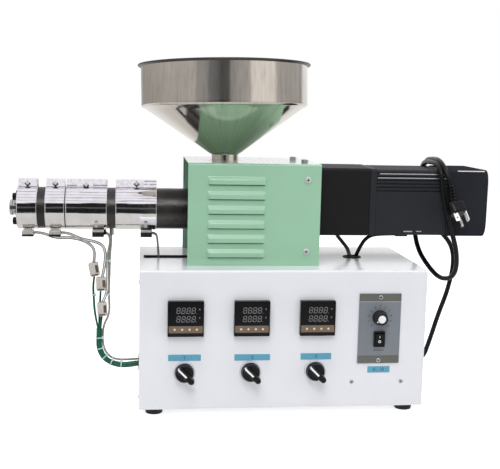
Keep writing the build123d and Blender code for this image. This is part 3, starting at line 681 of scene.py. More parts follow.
def make_gland():
    """A cable gland: hexagonal nut, domed cap and a tapered relief that fills the cord's exit."""
    shape = Shape(black_plastic)
    start = Vector((cabinet_width, 150.0, 16.0))
    nut = arc((0, 0), 9.5, 0, 300, 5)
    swept(shape, [(start + Vector((out, 0, 0)), Vector((0, 1, 0)), Vector((0, 0, 1)), nut)
                  for out in (0.0, 5.8)], bevel=0.5)
    shape.spin(((5.6, 8.4), (7.0, 8.2), (9.5, 7.2), (11.0, 6.0), (12.2, 5.3), (13.0, 4.9),
                (13.4, 5.1), (14.2, 4.8), (14.6, 5.0), (15.4, 4.6), (15.8, 4.8), (17.0, 4.3),
                (23.0, 3.9), (30.0, 3.62), (30.0, 3.2)), start, (1, 0, 0), 40)
    return shape.finish("gland", replaces=("cord_gland",))


make_gland()


# Heater leads, green wires and their connectors


def make_connector(number, place, tilt):
    """A glazed ceramic block with two brown recesses on its front."""
    shape = Shape(ceramic, ceramic_recess)
    middle = Vector(place)
    leaned = Matrix.Rotation(math.radians(tilt), 4, "Y")
    shape.bar(middle, (6.8, 7.0, 9.5), 1.8, 3, 0, leaned)
    for offset, half in (((4.2, -6.9, 1.0), (2.0, 0.3, 5.4)), ((0.0, -6.9, -7.2), (4.6, 0.3, 1.1))):
        shape.bar(middle + leaned.to_3x3() @ Vector(offset), half, 0.25, 2, 1, leaned)
    return shape.finish(f"ceramic_connector_{number}")


connector_places = ((-63.8, 100.0, 173.5), (-54.2, 100.0, 152.5), (-52.7, 100.0, 116.0))
connectors = []
for number, (place, tilt) in enumerate(zip(connector_places, (-10.0, -2.0, -3.0)), start=1):
    connectors.append(make_connector(number, place, tilt))
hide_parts("ceramic_connectors")

twin = ((1.2, 0.0), (-1.2, 0.0))
for number, length in enumerate((0.109, 0.110, 0.1095), start=1):
    stranded_cord(f"heater_lead_{number}", twin, 1.0, 0.012, lead_braid, "lead_silver", 3.0,
                  length=length, far_end="connector", stiffness="medium", lay="hanging",
                  with_pieces=[connectors[number - 1]])
stranded_cord("heater_lead_4", twin, 1.0, 0.012, lead_braid, "lead_silver", 3.0,
              length=0.0615, far_end="object", stiffness="medium", lay="hanging")
for name, thickness, material, slot, length in (
    ("probe_lead", 3.2, lead_braid, "lead_silver", 0.2225),
    ("motor_lead_1", 5.5, lead_grey, "lead_grey", 0.130),
    ("motor_lead_2", 5.5, cord_sheath, "cord_black", 0.0745),
):
    single_cord(name, thickness, material, slot, length=length, far_end="object",
                stiffness="medium", lay="hanging")

pair = ((0.85, 0.0), (-0.85, 0.0))
small_wire = stranded_cord("green_wire_3", pair, 0.85, 0.02, green_wire, "wire_green", 2.6)
for number, length in ((1, 0.0767), (2, 0.0575)):
    stranded_cord(f"green_wire_{number}", pair, 0.85, 0.02, green_wire, "wire_green", 2.6,
                  length=length, far_end="object", stiffness="limp", lay="hanging")
bundle_strand = 1.45
bundle = arc((0, 0), 2.75, 0, 300, 5)


def make_ties():
    """Cable ties round the bundles, each with its lock."""
    shape = Shape(tie_plastic)
    half_width, thick = 0.8, 0.5
    for name, shares, radius in (
        ("green_trunk", (0.1, 0.28, 0.47, 0.64, 0.82), 4.6),
        ("heater_lead_3", (0.56, 0.92), 2.6), ("green_wire_1", (0.42,), 2.3),
    ):
        path = from_corner(route_points(name))
        for share in shares:
            k = int(share * (len(path) - 1))
            ahead = ahead_of(path, k)
            shape.spin(((-half_width, radius - thick), (-half_width, radius),
                        (half_width, radius), (half_width, radius - thick)), path[k], ahead, 24)
            side = ahead.cross(Vector((0, 1, 0))).normalized()
            lock = path[k] + side * (radius + 0.6) - Vector((0, 1.2, 0))
            shape.bar(lock, (1.4, 1.6, 1.8), 0.4, 2)
    return shape.finish("cable_ties")


ties = make_ties()
stranded_cord("green_trunk", bundle, bundle_strand, 0.02, green_wire, "wire_green", 6.5,
              length=0.0945, far_end="object", stiffness="limp", lay="hanging",
              with_pieces=[small_wire, ties])


# Cabinet

dress(white_paint, "cabinet_body", "cabinet_left_panel", "cabinet_right_panel",
      "cabinet_back_panel")
dress(rubber, "foot_front_left", "foot_front_right", "foot_back_left", "foot_back_right")
dress(block_steel, "feed_block", "thrust_housing", "motor_plate", "screw")


def rimmed_hole(shape, profile, middle, axis, segments):
    """A turned rim, and a dark disc that fills it at the profile's last point, in the shape's
    second material; in the grommets that disc is painted shade.
    """
    depth, radius = profile[-1]
    shape.spin(profile, middle, axis, segments)
    shape.spin(((depth, radius), (depth, 0)), middle, axis, 48, 1)


def make_top_grommet():
    """A rubber grommet with a rolled rim and a dark disc of painted shade for the hollow where the
    motor leads go in.
    """
    shape = Shape(rubber, painted_shade_black)
    profile = ((0, 13.75), (0.6, 13.7), (1.1, 12.9), (1.3, 11.6), (1.1, 10.4), (0.5, 9.7),
               (0.2, 9.5))
    rimmed_hole(shape, profile, (310.7, 111.5, cabinet_top), (0, 0, 1), 64)
    return shape.finish("top_grommet_ring", replaces=("top_grommet",))


def make_side_grommet():
    """A grommet where the green bundle and the probe lead enter, with the stubs of both and a dark
    disc of painted shade in its hollow.
    """
    shape = Shape(rubber, painted_shade_black, green_wire, lead_braid)
    left, stub = (-1, 0, 0), (-0.1, 3.2)
    for u, v in bundle:
        shape.spin([(along, bundle_strand) for along in stub], (0.0, 98.0 + u, 36.0 + v), left, 10,
                   2)
    shape.spin([(along, 1.6) for along in stub], (0.0, 105.0, 40.5), left, 12, 3)
    profile = ((0, 13.0), (0.7, 12.9), (1.1, 12.2), (1.2, 10.6), (1.0, 9.2), (0.6, 8.4),
               (0.2, 8.2))
    rimmed_hole(shape, profile, (0.0, 100.0, 38.0), left, 64)
    return shape.finish("side_grommet_ring", replaces=("side_grommet",))


make_top_grommet()
make_side_grommet()


def cross_screw(shape, place, axis, radius, height, material, recess):
    """A pan head screw with a cross recess of painted shade, along one of the machine's own
    directions.
    """
    axis = Vector(axis).normalized()
    side = Vector((0, 0, 1)) if abs(axis.z) < 0.9 else Vector((1, 0, 0))
    other = axis.cross(side)
    profile = [(-0.3, radius), (height * 0.25, radius)]
    for step in range(1, 6):
        turn = math.pi / 2 * step / 6
        profile.append((height * (0.25 + 0.75 * math.sin(turn)),
                        radius * (0.62 + 0.38 * math.cos(turn))))
    profile += [(height, radius * 0.6), (height, 0)]
    shape.spin(profile, place, axis, 32, material)
    # The cross is two dark bars laid on the head: painted shade for the recess
    for first, second in ((side, other), (other, side)):
        half = first * radius * 0.52 + second * radius * 0.1 + axis * 0.12
        shape.bar(Vector(place) + axis * (height + 0.03), [abs(v) for v in half], material=recess)


# Temperature controllers

controller_places = (61.5, 150.0, 239.2)
controller_rise = 126.0
controller_size = 48.0
# A digit's segments: place across and up, in halves of its size, and whether it lies flat
segments_of_digit = (
    (0.0, 1.0, True), (1.0, 0.5, False), (1.0, -0.5, False), (0.0, -1.0, True),
    (-1.0, -0.5, False), (-1.0, 0.5, False), (0.0, 0.0, True),
)


def put_digit(shape, x, z, width, height, front, material):
    """Seven dark-grey segments of a display that is switched off."""
    lean = 0.12
    thick = width * 0.17
    for u, v, flat in segments_of_digit:
        centre_x = x + u * (width - thick) / 2 + v * height / 2 * lean
        centre_z = z + v * (height - thick) / 2
        if flat:
            half = ((width - 2.2 * thick) / 2, 0.1, thick / 2)
        else:
            half = (thick / 2, 0.1, (height / 2 - 1.5 * thick) / 2)
        shape.bar((centre_x, front + 0.1, centre_z), half, material=material)


def make_controller(number, x):
    """A square bezel round a tinted window with two rows of digits, over a bronze key strip."""
    shape = Shape(gloss_plastic, window_tint, digit_grey, key_bronze, key_cream, painted_shade_black)
    left = x - controller_size / 2
    half_inside = 22.7
    first_digit, digit_step, digit_width, digit_height = 14.2, 6.7, 5.0, 8.4
    digit_front = -6.99
    outer = rounded_rectangle(controller_size, controller_size, 1.2, 4)
    swept(shape, [(Vector((x, y, controller_rise)), Vector((1, 0, 0)), Vector((0, 0, 1)), outer)
                  for y in (-0.2, -6.3)])
    add_frame(shape, (x, -6.3, controller_rise), outer, rounded_rectangle(45.4, 45.4, 0.8, 4),
              1.2, 0.35)
    for front, low, high, bevel, segments, material in (
        (-6.9, 117.1, 148.7, 0.15, 1, 1), (-7.0, 106.9, 116.5, 0.2, 2, 3),
        # The thin black strip below the key strip is painted shade
        (-6.8, 103.3, 106.5, 0.15, 1, 5),
    ):
        shape.block((x - half_inside, front, low), (x + half_inside, -6.2, high), bevel, segments,
                    material)
    for rise in (137.4, 125.9):
        for k in range(4):
            start = left + first_digit + digit_step * k
            put_digit(shape, start, rise, digit_width, digit_height, digit_front, 2)
            shape.block((start + 3.4, digit_front, rise - 4.3), (start + 4.2, -6.8, rise - 3.5),
                        material=2)
        shape.block((x + 17.6, digit_front, rise + 0.8), (x + 19.0, -6.8, rise + 2.6), material=2)
    for offset in (9.3, 19.2, 29.1, 38.7):
        shape.spin(((0, 1.5), (0.25, 1.4), (0.3, 0)), (left + offset, -6.95, 111.7), (0, -1, 0), 20,
                   4)
    return shape.finish(f"controller_{number}_face",
                        replaces=(f"controller_{number}",))


for number, x in enumerate(controller_places, start=1):
    make_controller(number, x)
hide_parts("display_windows", "key_strips")


# Selector switches

selector_places = (60.6, 149.8, 238.6)
selector_rise = 51.5


def make_ring(number, x):
    """A pale ring round a switch, with a dark gap inside it."""
    shape = Shape(ring_pale, black_plastic)
    profile = ((0, 14.75), (1.9, 14.7), (2.6, 14.3), (3.0, 13.5), (3.0, 12.9), (2.2, 12.7),
               (1.4, 12.5))
    rimmed_hole(shape, profile, (x, 0.0, selector_rise), (0, -1, 0), 72)
    return shape.finish(f"selector_ring_{number}")


rings = [make_ring(number, x) for number, x in enumerate(selector_places, start=1)]
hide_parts("selector_rings")


def make_selector(number, x):
    """A round knob with a raised handle that points up to the left, with a white pointer."""
    shape = Shape(knob_plastic, white_mark)
    shape.spin(((0, 12.3), (5.8, 12.0), (6.9, 11.7), (7.6, 11.0), (8.0, 10.0), (8.0, 0)),
               (x, -3.3, selector_rise), (0, -1, 0), 64)
    pointing = Vector((-1, 0, 1)).normalized()
    aside = Vector((1, 0, 1)).normalized()
    out = Vector((0, -1, 0))
    middle = Vector((x, -11.3, selector_rise))
    half_handle, half_pointer, handle_middle = 4.4, 1.3, 2.7
    outline = [*arc((-12.5, 0), half_handle, 90, 270, 10), *arc((7.1, 0), half_handle, -90, 90, 10)]
    loops = []
    for depth, shrink in ((-0.4, 1.0), (5.6, 0.94), (7.0, 0.88), (7.7, 0.78), (8.0, 0.62)):
        shorter = 1 - (1 - shrink) * 0.36
        loops.append([
            middle + pointing * (handle_middle + (u - handle_middle) * shorter)
            + aside * v * shrink + out * depth for u, v in outline
        ])
    shape.loft(loops)
    shape.loft([
        [middle + pointing * reach + out * depth + aside * side
         for side in (-half_pointer, half_pointer)]
        for reach, depth in ((11.75, -0.2), (11.75, 5.6), (11.35, 7.3), (10.9, 7.95),
                             (10.2, 8.12), (-3.2, 8.12))
    ], 1, closed=False, caps=False)
    return shape.finish(f"selector_{number}_handle", f"selector_{number}",
                        (f"selector_knob_{number}",))


for number, x in enumerate(selector_places, start=1):
    make_selector(number, x)


def put_text(shape, words, x, y, z, height, material):
    """Plain figures or letters facing the operator, as a thin print."""
    data = bpy.data.curves.new("print", "FONT")
    data.body = words
    data.size = height * 1.4
    data.align_x = "CENTER"
    data.align_y = "CENTER"
    data.extrude = 0.04
    made = bpy.data.objects.new("print", data)
    scene.collection.objects.link(made)
    read = bpy.data.meshes.new_from_object(made)
    piece = bmesh.new()
    piece.from_mesh(read)
    stand = Matrix.Translation(Vector((x, y, z))) @ Matrix.Rotation(math.pi / 2, 4, "X")
    bmesh.ops.transform(piece, matrix=stand, verts=piece.verts)
    shape.take(piece, material)
    bpy.data.meshes.remove(read)
    bpy.data.objects.remove(made)


# Speed control

plate_x = cabinet_width - 65.1
plate_rise = 110.0
plate_front = -2.0
dial_rise = plate_rise + 15.5
rocker_rise = plate_rise - 14.3


def make_speed_plate():
    """A grey plate with two darker bands, fine lines, dial figures and two screws."""
    shape = Shape(plate_grey, plate_band, pale_grey, plate_print, zinc, painted_shade_black)
    half_plate, half_band = 29.15, 28.9
    figure_radius, mark_radius, print_front = 16.0, 12.9, plate_front - 0.06
    shape.block((plate_x - half_plate, plate_front, 61.2), (plate_x + half_plate, -0.1, 158.75),
                0.5, 2, 0)
    for low, high, front, bevel, material in (
        (148.0, 158.4, -2.08, 0.04, 1), (61.6, 71.4, -2.08, 0.04, 1),
        (147.1, 147.9, -2.1, 0.02, 2), (71.5, 71.9, -2.1, 0.02, 3),
    ):
        shape.block((plate_x - half_band, front, low), (plate_x + half_band, -1.8, high), bevel, 1,
                    material)
    for step in range(11):
        turn = math.radians(225 - 27 * step)
        mark = Vector((math.cos(turn), 0, math.sin(turn)))
        place = Vector((plate_x, print_front, dial_rise)) + mark * figure_radius
        put_text(shape, str(step), *place, 2.9, 3)
        middle = Vector((plate_x, print_front, dial_rise)) + mark * mark_radius
        shape.block(middle - Vector((0.5, 0.02, 0.5)), middle + Vector((0.5, 0.1, 0.5)), material=3)
    shape.block((plate_x - 7.5, -2.08, 79.4), (plate_x + 7.5, -1.9, 80.2), 0.02, 1, 3)
    for rise in (153.6, 65.6):
        cross_screw(shape, (plate_x, plate_front, rise), (0, -1, 0), 3.3, 1.7, 4, 5)
    return shape.finish("speed_control_plate", replaces=("speed_plate",))


def make_dial():
    """A ribbed dial knob with a skirt and a white pointer dot."""
    shape = Shape(black_plastic, white_mark)
    base = Vector((plate_x, -2.3, dial_rise))
    count, rib = 120, 0.32
    loops = []
    for along, radius, ribbed in ((0, 10.4, 0), (1.4, 10.5, 0), (2.0, 10.2, 0), (2.2, 9.4, 1),
                                  (10.6, 8.6, 1), (11.6, 8.2, 1), (12.0, 7.4, 0),
                                  (12.0, 5.4, 0), (11.2, 5.3, 0), (11.2, 0.05, 0)):
        loop = []
        for step in range(count):
            turn = 2 * math.pi * step / count
            reach = radius + (rib if ribbed and step % 5 in (0, 1) else 0)
            loop.append(base + Vector((reach * math.cos(turn), -along, reach * math.sin(turn))))
        loops.append(loop)
    shape.loft(loops)
    toward = Vector((-0.84, 0, -0.54)).normalized()
    dot = base + toward * 7.2 + Vector((0, -12.0, 0))
    shape.spin(((0, 1.0), (0.2, 0.9), (0.25, 0)), dot, (0, -1, 0), 16, 1)
    return shape.finish("speed_dial_knob", "speed_dial", ("speed_knob",))


def make_dial_cap():
    """The dial's pale domed cap."""
    shape = Shape(white_mark)
    shape.spin(((0, 5.3), (0.9, 5.3), (1.3, 5.0), (1.55, 4.3), (1.6, 0)),
               (plate_x, -13.5, dial_rise), (0, -1, 0), 48)
    return shape.finish("speed_dial_cap", "speed_dial", ("speed_knob_cap",))


def make_rocker_frame():
    """The rocker's bezel, with a dark back behind its opening that is painted shade."""
    shape = Shape(gloss_plastic, painted_shade_black)
    add_frame(shape, (plate_x, plate_front, rocker_rise), rounded_rectangle(15.5, 21.5, 0.8, 3),
              rounded_rectangle(12.0, 18.0, 0.5, 3), 3.1, 0.4)
    # The dark back is painted shade
    shape.bar((plate_x, -2.15, rocker_rise), (6.3, 0.1, 9.3), material=1)
    return shape.finish("rocker_bezel", replaces=("rocker_frame",))


def make_rocker():
    """A rocker key, its lower half pressed in, marked I and O."""
    shape = Shape(gloss_plastic, white_mark)
    pivot = Vector((plate_x, -3.6, rocker_rise))
    lean = math.radians(8.0)
    radius = 8.3
    middle_out = 2.26
    slope = 0.14
    end_out = middle_out + slope * (radius - 1.1)
    back_out = 1.3

    def on_key(across, along, out):
        """A point of the tipped key: across it, up along it and out from its pivot."""
        return pivot + Vector((across, -out * math.cos(lean) - along * math.sin(lean),
                               along * math.cos(lean) - out * math.sin(lean)))

    side = [(-radius, back_out), (-radius, end_out - 0.4), (-radius + 0.5, end_out),
            (-0.6, middle_out), (0.6, middle_out), (radius - 0.5, end_out),
            (radius, end_out - 0.4), (radius, back_out)]
    shape.loft([
        [on_key(across, along, out - (shrink if out > back_out else 0)) for along, out in side]
        for across, shrink in ((-5.7, 0.25), (-5.45, 0.0), (5.45, 0.0), (5.7, 0.25))
    ])
    stroke = [[on_key(across, along, middle_out + slope * (along - 0.6) + 0.08)
               for across in (-0.4, 0.4)] for along in (2.2, 5.5)]
    shape.loft(stroke, 1, closed=False, caps=False)
    shape.spin(((0, 1.9), (0.12, 1.9), (0.12, 1.1), (0, 1.1)),
               on_key(0, -2.6, middle_out + slope * 2.0), (0, -1, 0), 24, 1)
    return shape.finish("rocker_key", "power_rocker", ("rocker",))


make_speed_plate()
make_dial()
make_dial_cap()
make_rocker_frame()
make_rocker()


def make_labels():
    """Blue label strips, each with plain figures."""
    shape = Shape(label_blue, label_print)
    for words, x, rise, width, height in (
        ("1", 60.7, 71.5, 43.9, 8.6), ("2", 152.0, 71.1, 48.4, 8.6),
        ("3", 239.4, 71.5, 42.4, 8.8), ("0 - 10", plate_x + 1.6, 52.0, 31.2, 8.8),
    ):
        shape.bar((x, -0.26, rise), (width / 2, 0.24, height / 2), 0.12, 1, 0)
        put_text(shape, words, x, -0.52, rise, 4.6, 1)
    return shape.finish("label_plates", replaces=("label_strips",))


make_labels()


def make_panel_screws():
    """Two screws low on the front panel, and one at each corner of the side panels."""
    shape = Shape(zinc, painted_shade_black)
    for x, z in ((290.2, 35.0), (359.6, 34.8)):
        cross_screw(shape, (x, 0.0, z), (0, -1, 0), 2.9, 1.8, 0, 1)
    for x, way in ((0.0, -1), (cabinet_width, 1)):
        for z in (14.0, 172.0):
            for y in (14.0, 189.0):
                cross_screw(shape, (x, y, z), (way, 0, 0), 3.2, 0.5, 0, 1)
    return shape.finish("cabinet_screws")


make_panel_screws()


def make_slot_lining():
    """A black edging round the wire slot, with a dark sheet below it that is painted shade for the
    cabinet's inside.
    """
    shape = Shape(rubber, painted_shade_black)
    left, right, front, back, thick = 5.6, 80.4, 98.6, 119.4, 1.2
    for low, high in (((left + 0.4, front), (right - 0.4, front + thick)),
                      ((left + 0.4, back - thick), (right - 0.4, back)),
                      ((left, front), (left + thick, back)),
                      ((right - thick, front), (right, back))):
        shape.block((*low, cabinet_top - 10.0), (*high, cabinet_top + 0.7), 0.4, 2, 0)
    # The dark sheet under the slot is painted shade
    shape.block((left + 0.9, front + 0.4, cabinet_top - 13.8),
                (right - 0.9, back - 0.4, cabinet_top - 11.0), material=1)
    return shape.finish("slot_edging")


make_slot_lining()


# Green cover

cover_left, cover_right = 64.5, 246.5
cover_front, cover_back = 36.7, 190.3
cover_top = 330.0
sheet = 1.5


def make_cover():
    """A folded sheet with pressed louvres on its front and a hole for the hopper's neck."""
    shape = Shape(green_paint, painted_shade_black, louvre_painted_shadow)
    foot, fold, eased_end = cabinet_top + 0.1, 3.0, 0.3

    def profile(inset):
        """The bent sheet seen from its end, a distance in from its outside."""
        return [(cover_front + inset, foot),
                *arc((cover_front + fold, cover_top - fold), fold - inset, 180, 90, 5),
                *arc((cover_back - fold, cover_top - fold), fold - inset, 90, 0, 5),
                (cover_back - inset, foot)]

    outer, inner = profile(0.0), profile(sheet)
    loops = []
    for x, ease in ((cover_left, 0.25), (cover_left + eased_end, 0.0),
                    (cover_right - eased_end, 0.0), (cover_right, 0.25)):
        outside, inside = shift(outer, inner, ease), shift(inner, outer, ease)
        loops.append([(x, y, z) for y, z in outside + inside[::-1]])
    shape.loft(loops, caps="strips")
    for number in range(6):
        add_louvre(shape, 91.1, 170.1, 202.0 + 19.9 * number)
    shape.spin(((-1.6, 20.2), (0.12, 20.2), (0.12, 23.4), (-0.05, 23.6)),
               (hopper_x, axis_setback, cover_top), (0, 0, 1), 64, 0)
    return shape.finish("cover_sheet", replaces=("guard_cover",))


def add_louvre(shape, left, right, lip_z):
    """A pressed louvre: a flat part over the lip, a sloping shoulder and rounded ends."""
    proud, end = 3.2, 5.0
    rows = ((0.0, 0.9), (0.35, 0.985), (1.2, 1.0), (3.0, 1.0), (5.0, 1.0), (5.8, 0.985),
            (6.4, 0.93), (7.0, 0.84), (8.0, 0.63), (9.0, 0.4), (9.8, 0.2), (10.4, 0.08),
            (11.0, 0.0))
    easing = [end * (1 - math.cos(math.pi * k / 16)) for k in range(9)]
    columns = [left + reach for reach in easing]
    columns += [left + end + (right - left - 2 * end) * k / 12 for k in range(1, 12)]
    columns += [right - reach for reach in reversed(easing)]
    loops = []
    for rise, share in rows:
        loop = []
        for x in columns:
            near = min(1.0, min(x - left, right - x) / end)
            swell = math.sqrt(max(0.0, 1 - (1 - near) ** 2.4))
            loop.append((x, cover_front + 0.02 - proud * share * swell, lip_z + rise))
        loops.append(loop)
    rim = [(x, min(cover_front + 0.04, y + 1.4), lip_z + 0.1) for x, y, _ in loops[0]]
    shape.loft([rim, *loops], closed=False, caps=False)
    # A dark green strip on the sheet just under the lip: painted shadow
    shape.block((left + 1.5, cover_front - 0.04, lip_z - 1.5),
                (right - 1.5, cover_front + 0.1, lip_z + 0.3), material=2)
    # A dark strip under the lip, where the opening is: painted shade
    shape.loft([[(x, depth, lip_z + 0.3) for x in columns[4:-4]]
                for depth in (cover_front - proud + 1.3, cover_front + 0.05)], 1, closed=False,
               caps=False)


def make_cover_screws():
    """Cross screws at the cover's right edge and flat socket screws on its top."""
    shape = Shape(bright_screw, painted_shade_black, zinc)
    for x, z in ((227.9, 308.7), (227.7, 209.9)):
        cross_screw(shape, (x, cover_front, z), (0, -1, 0), 4.5, 2.4, 0, 1)
    for x, y in ((222.0, 132.0), (228.0, 67.4)):
        shape.spin(((-0.2, 4.9), (4.2, 4.9), (4.8, 4.3), (4.8, 2.2), (2.4, 2.0), (2.4, 0)),
                   (x, y, cover_top), (0, 0, 1), 6, 2)
    return shape.finish("cover_screws")


make_cover()
make_cover_screws()


# Hopper

hopper_foot, hopper_top = 290.0, 463.0
cone_foot, cone_top = 339.0, 404.4
hopper_pivot = 355.0
stainless = make_stainless()


def make_hopper():
    """A spun hopper: wired rim, cylinder, cone and neck, in one thin sheet that leans a little."""
    shape = Shape(stainless, rim_painted_shade_steel)
    upright, sides = (0, 0, 1), 288
    outside_foot, outside_top, inside_foot, inside_top = 22.0, 115.0, 20.8, 113.6
    cone_rise = cone_top - cone_foot
    profile = [(290.3, 17.7), (290.3, 18.85), (337.0, 18.85), (338.2, 19.3), (339.0, 20.4),
               (339.2, 21.3), (340.0, 22.6)]
    for share in (0.02, 0.1, 0.25, 0.5, 0.75, 0.9, 0.965):
        profile.append((cone_foot + cone_rise * share + 0.6,
                        outside_foot + (outside_top - outside_foot) * share))
    profile += [(403.4, 114.4), (404.6, 115.8), (406.0, 116.5), (407.6, 116.8), (410.0, 116.6),
                (459.6, 116.6), (459.6, 115.4), (408.0, 115.4), (405.6, 113.4)]
    for share in (0.95, 0.75, 0.5, 0.25, 0.05):
        profile.append((cone_foot + 2.0 + cone_rise * share,
                        inside_foot + (inside_top - inside_foot) * share))
    profile += [(339.4, 18.2), (338.0, 17.7), (290.3, 17.7)]
    base = (hopper_x, axis_setback, hopper_foot)
    shape.spin([(z - hopper_foot, radius) for z, radius in profile], base, upright, sides)
    # The lip and wired rim take the darker rim steel: painted shade
    lip = ((169.2, 115.3), (169.2, 116.62), (170.3, 117.2), (170.8, 118.2), (170.8, 119.4),
           (171.8, 119.4), (171.8, 117.4), (171.2, 116.2), (170.2, 115.4), (169.2, 115.3))
    shape.spin(lip, base, upright, sides, 1)
    wire = arc((hopper_top - 1.7 - hopper_foot, 119.6), 1.45, 0, 360, 14)
    shape.spin(wire, base, upright, sides, 1)
    lean = Matrix.Identity(4)
    for degrees, axis in ((-1.2, "Y"), (-2.4, "X")):
        lean = lean @ Matrix.Rotation(math.radians(degrees), 4, axis)
    pivot = Vector((hopper_x, axis_setback, hopper_pivot))
    there, back = Matrix.Translation(pivot + Vector((1.2, 0.0, 0.6))), Matrix.Translation(-pivot)
    bmesh.ops.transform(shape.mesh, verts=shape.mesh.verts, matrix=there @ lean @ back)
    return shape.finish("hopper_shell", replaces=("hopper",), sharp=40.0)


make_hopper()


# Barrel, die head, nozzle and heater bands

dress(barrel_steel, "barrel", "die_head")
dress(nozzle_steel, "probe")


def make_nozzle():
    """A turned nozzle with a groove, set among four socket screws."""
    shape = Shape(nozzle_steel, black_oxide, painted_shade_black)
    origin, left = Vector((-168.0, axis_setback, axis_height)), (-1, 0, 0)
    shape.spin(((-0.4, 12.4), (0.7, 12.4), (1.0, 11.6), (1.1, 10.9), (3.9, 10.9), (4.3, 10.5),
                (4.4, 9.9), (6.8, 9.9), (6.9, 10.5), (7.3, 10.9), (10.1, 10.9), (10.9, 10.4),
                (11.2, 9.6), (11.2, 1.8), (8.2, 1.5), (8.2, 0)), origin, left, 64)
    # A black disc over the bore's mouth: painted shade
    shape.spin(((11.22, 1.7), (11.23, 0)), origin, left, 20, 2)
    for aside, rise in arc((0, 0), 23.7, 45, 315, 3):
        shape.spin(((-0.3, 5.2), (4.5, 5.2), (5.1, 4.8), (5.3, 4.2), (5.3, 2.8), (2.6, 2.6),
                    (2.6, 0)), origin + Vector((0, aside, rise)), left, 32, 1)
    return shape.finish("nozzle_and_screws", replaces=("nozzle",))


bands = ((-167.5, -140.2), (-129.5, -102.9), (-101.7, -45.1), (-33.7, 23.5))
clamp_screws = ((-154.6, 293.8), (-116.7, 293.7), (-74.6, 292.0), (-4.7, 294.5))
lip_lean = math.radians(20.0)
# Painted shadow: thin dark strips on each band's leaned lips, as left, right, rise and height
lip_painted_shadows = {
    1: ((-141.0, -140.2, 295.0, 9.0),),
    2: (),
    3: ((-101.5, -87.3, 292.1, 0.9), (-65.2, -45.4, 292.5, 0.9), (-46.0, -45.4, 295.5, 8.0)),
    4: ((6.3, 23.3, 298.6, 0.6), (5.6, 10.5, 294.6, 0.6), (14.0, 23.3, 294.6, 0.6)),
}


def lip_face(rise):
    """How far back a clamp lip's leaned front face lies at a height."""
    return axis_setback - 5.0 + (rise - 290.0) * math.tan(lip_lean)


def make_band(number, start, end, screw):
    """A polished clamp band: rolled end rims, two clamp lips and the screw through them."""
    shape = Shape(band_chrome, painted_shade_black, black_oxide, bright_screw, lip_chrome)
    outer, inner, half_gap = 30.25, 28.8, 2.7
    opening = math.degrees(math.asin(half_gap / outer))
    length = end - start
    rim = ((0.0, -0.3), (0.15, -0.1), (0.5, 0.0), (0.9, -0.1), (1.2, -0.3))
    places = [(along, outer + proud) for along, proud in rim]
    places.append((length / 2, outer - 0.3))
    places += [(length - along, outer + proud) for along, proud in reversed(rim)]
    places += [(length, inner), (0.0, inner)]
    shape.loft([
        [(start + along, axis_setback + v, axis_height + u)
         for u, v in arc((0, 0), radius, opening, 360 - opening, 96)] for along, radius in places
    ], closed=False, caps=False, ring=True)
    for side in (-1, 1):
        shape.bar(((start + end) / 2, axis_setback + side * 2.3, 295.15),
                  (length / 2 - 0.5, 0.7, 5.75), 0.3, 2, 4,
                  Matrix.Rotation(lip_lean * side, 4, "X"))
    # Dark strips on the lip faces: painted shadow
    for left, right, rise, height in lip_painted_shadows[number]:
        y = lip_face(rise)
        shape.block((left, y - 0.15, rise - height / 2), (right, y + 0.4, rise + height / 2),
                    material=1, turn=Matrix.Rotation(-lip_lean, 4, "X"))
    screw_x, rise = screw
    for side in (-1, 1):
        out = Vector((0, side * math.cos(lip_lean), math.sin(lip_lean)))
        seat = Vector((screw_x, axis_setback + side * (axis_setback - lip_face(rise)), rise))
        # A black square washer behind the raised nut shows as a dark edge below it: painted shade
        # under the nut
        shape.spin(((-0.4, 4.3), (0.9, 4.3), (1.2, 3.9), (1.2, 0)), seat, out, 4, 2)
        shape.spin(((1.2, 2.9), (2.8, 2.8), (3.2, 2.3), (3.2, 0)), seat + Vector((0, 0, 0.5)), out,
                   6, 3)
    shape.spin(((-4.0, 0), (-4.0, 2.0), (4.0, 2.0), (4.0, 0)), (screw_x, axis_setback, rise),
               (0, 1, 0), 20, 2)
    return shape.finish(f"clamp_band_{number}",
                        replaces=(f"heater_band_{number}",))


polished = [make_nozzle()]
for number, ((start, end), screw) in enumerate(zip(bands, clamp_screws), start=1):
    polished.append(make_band(number, start, end, screw))


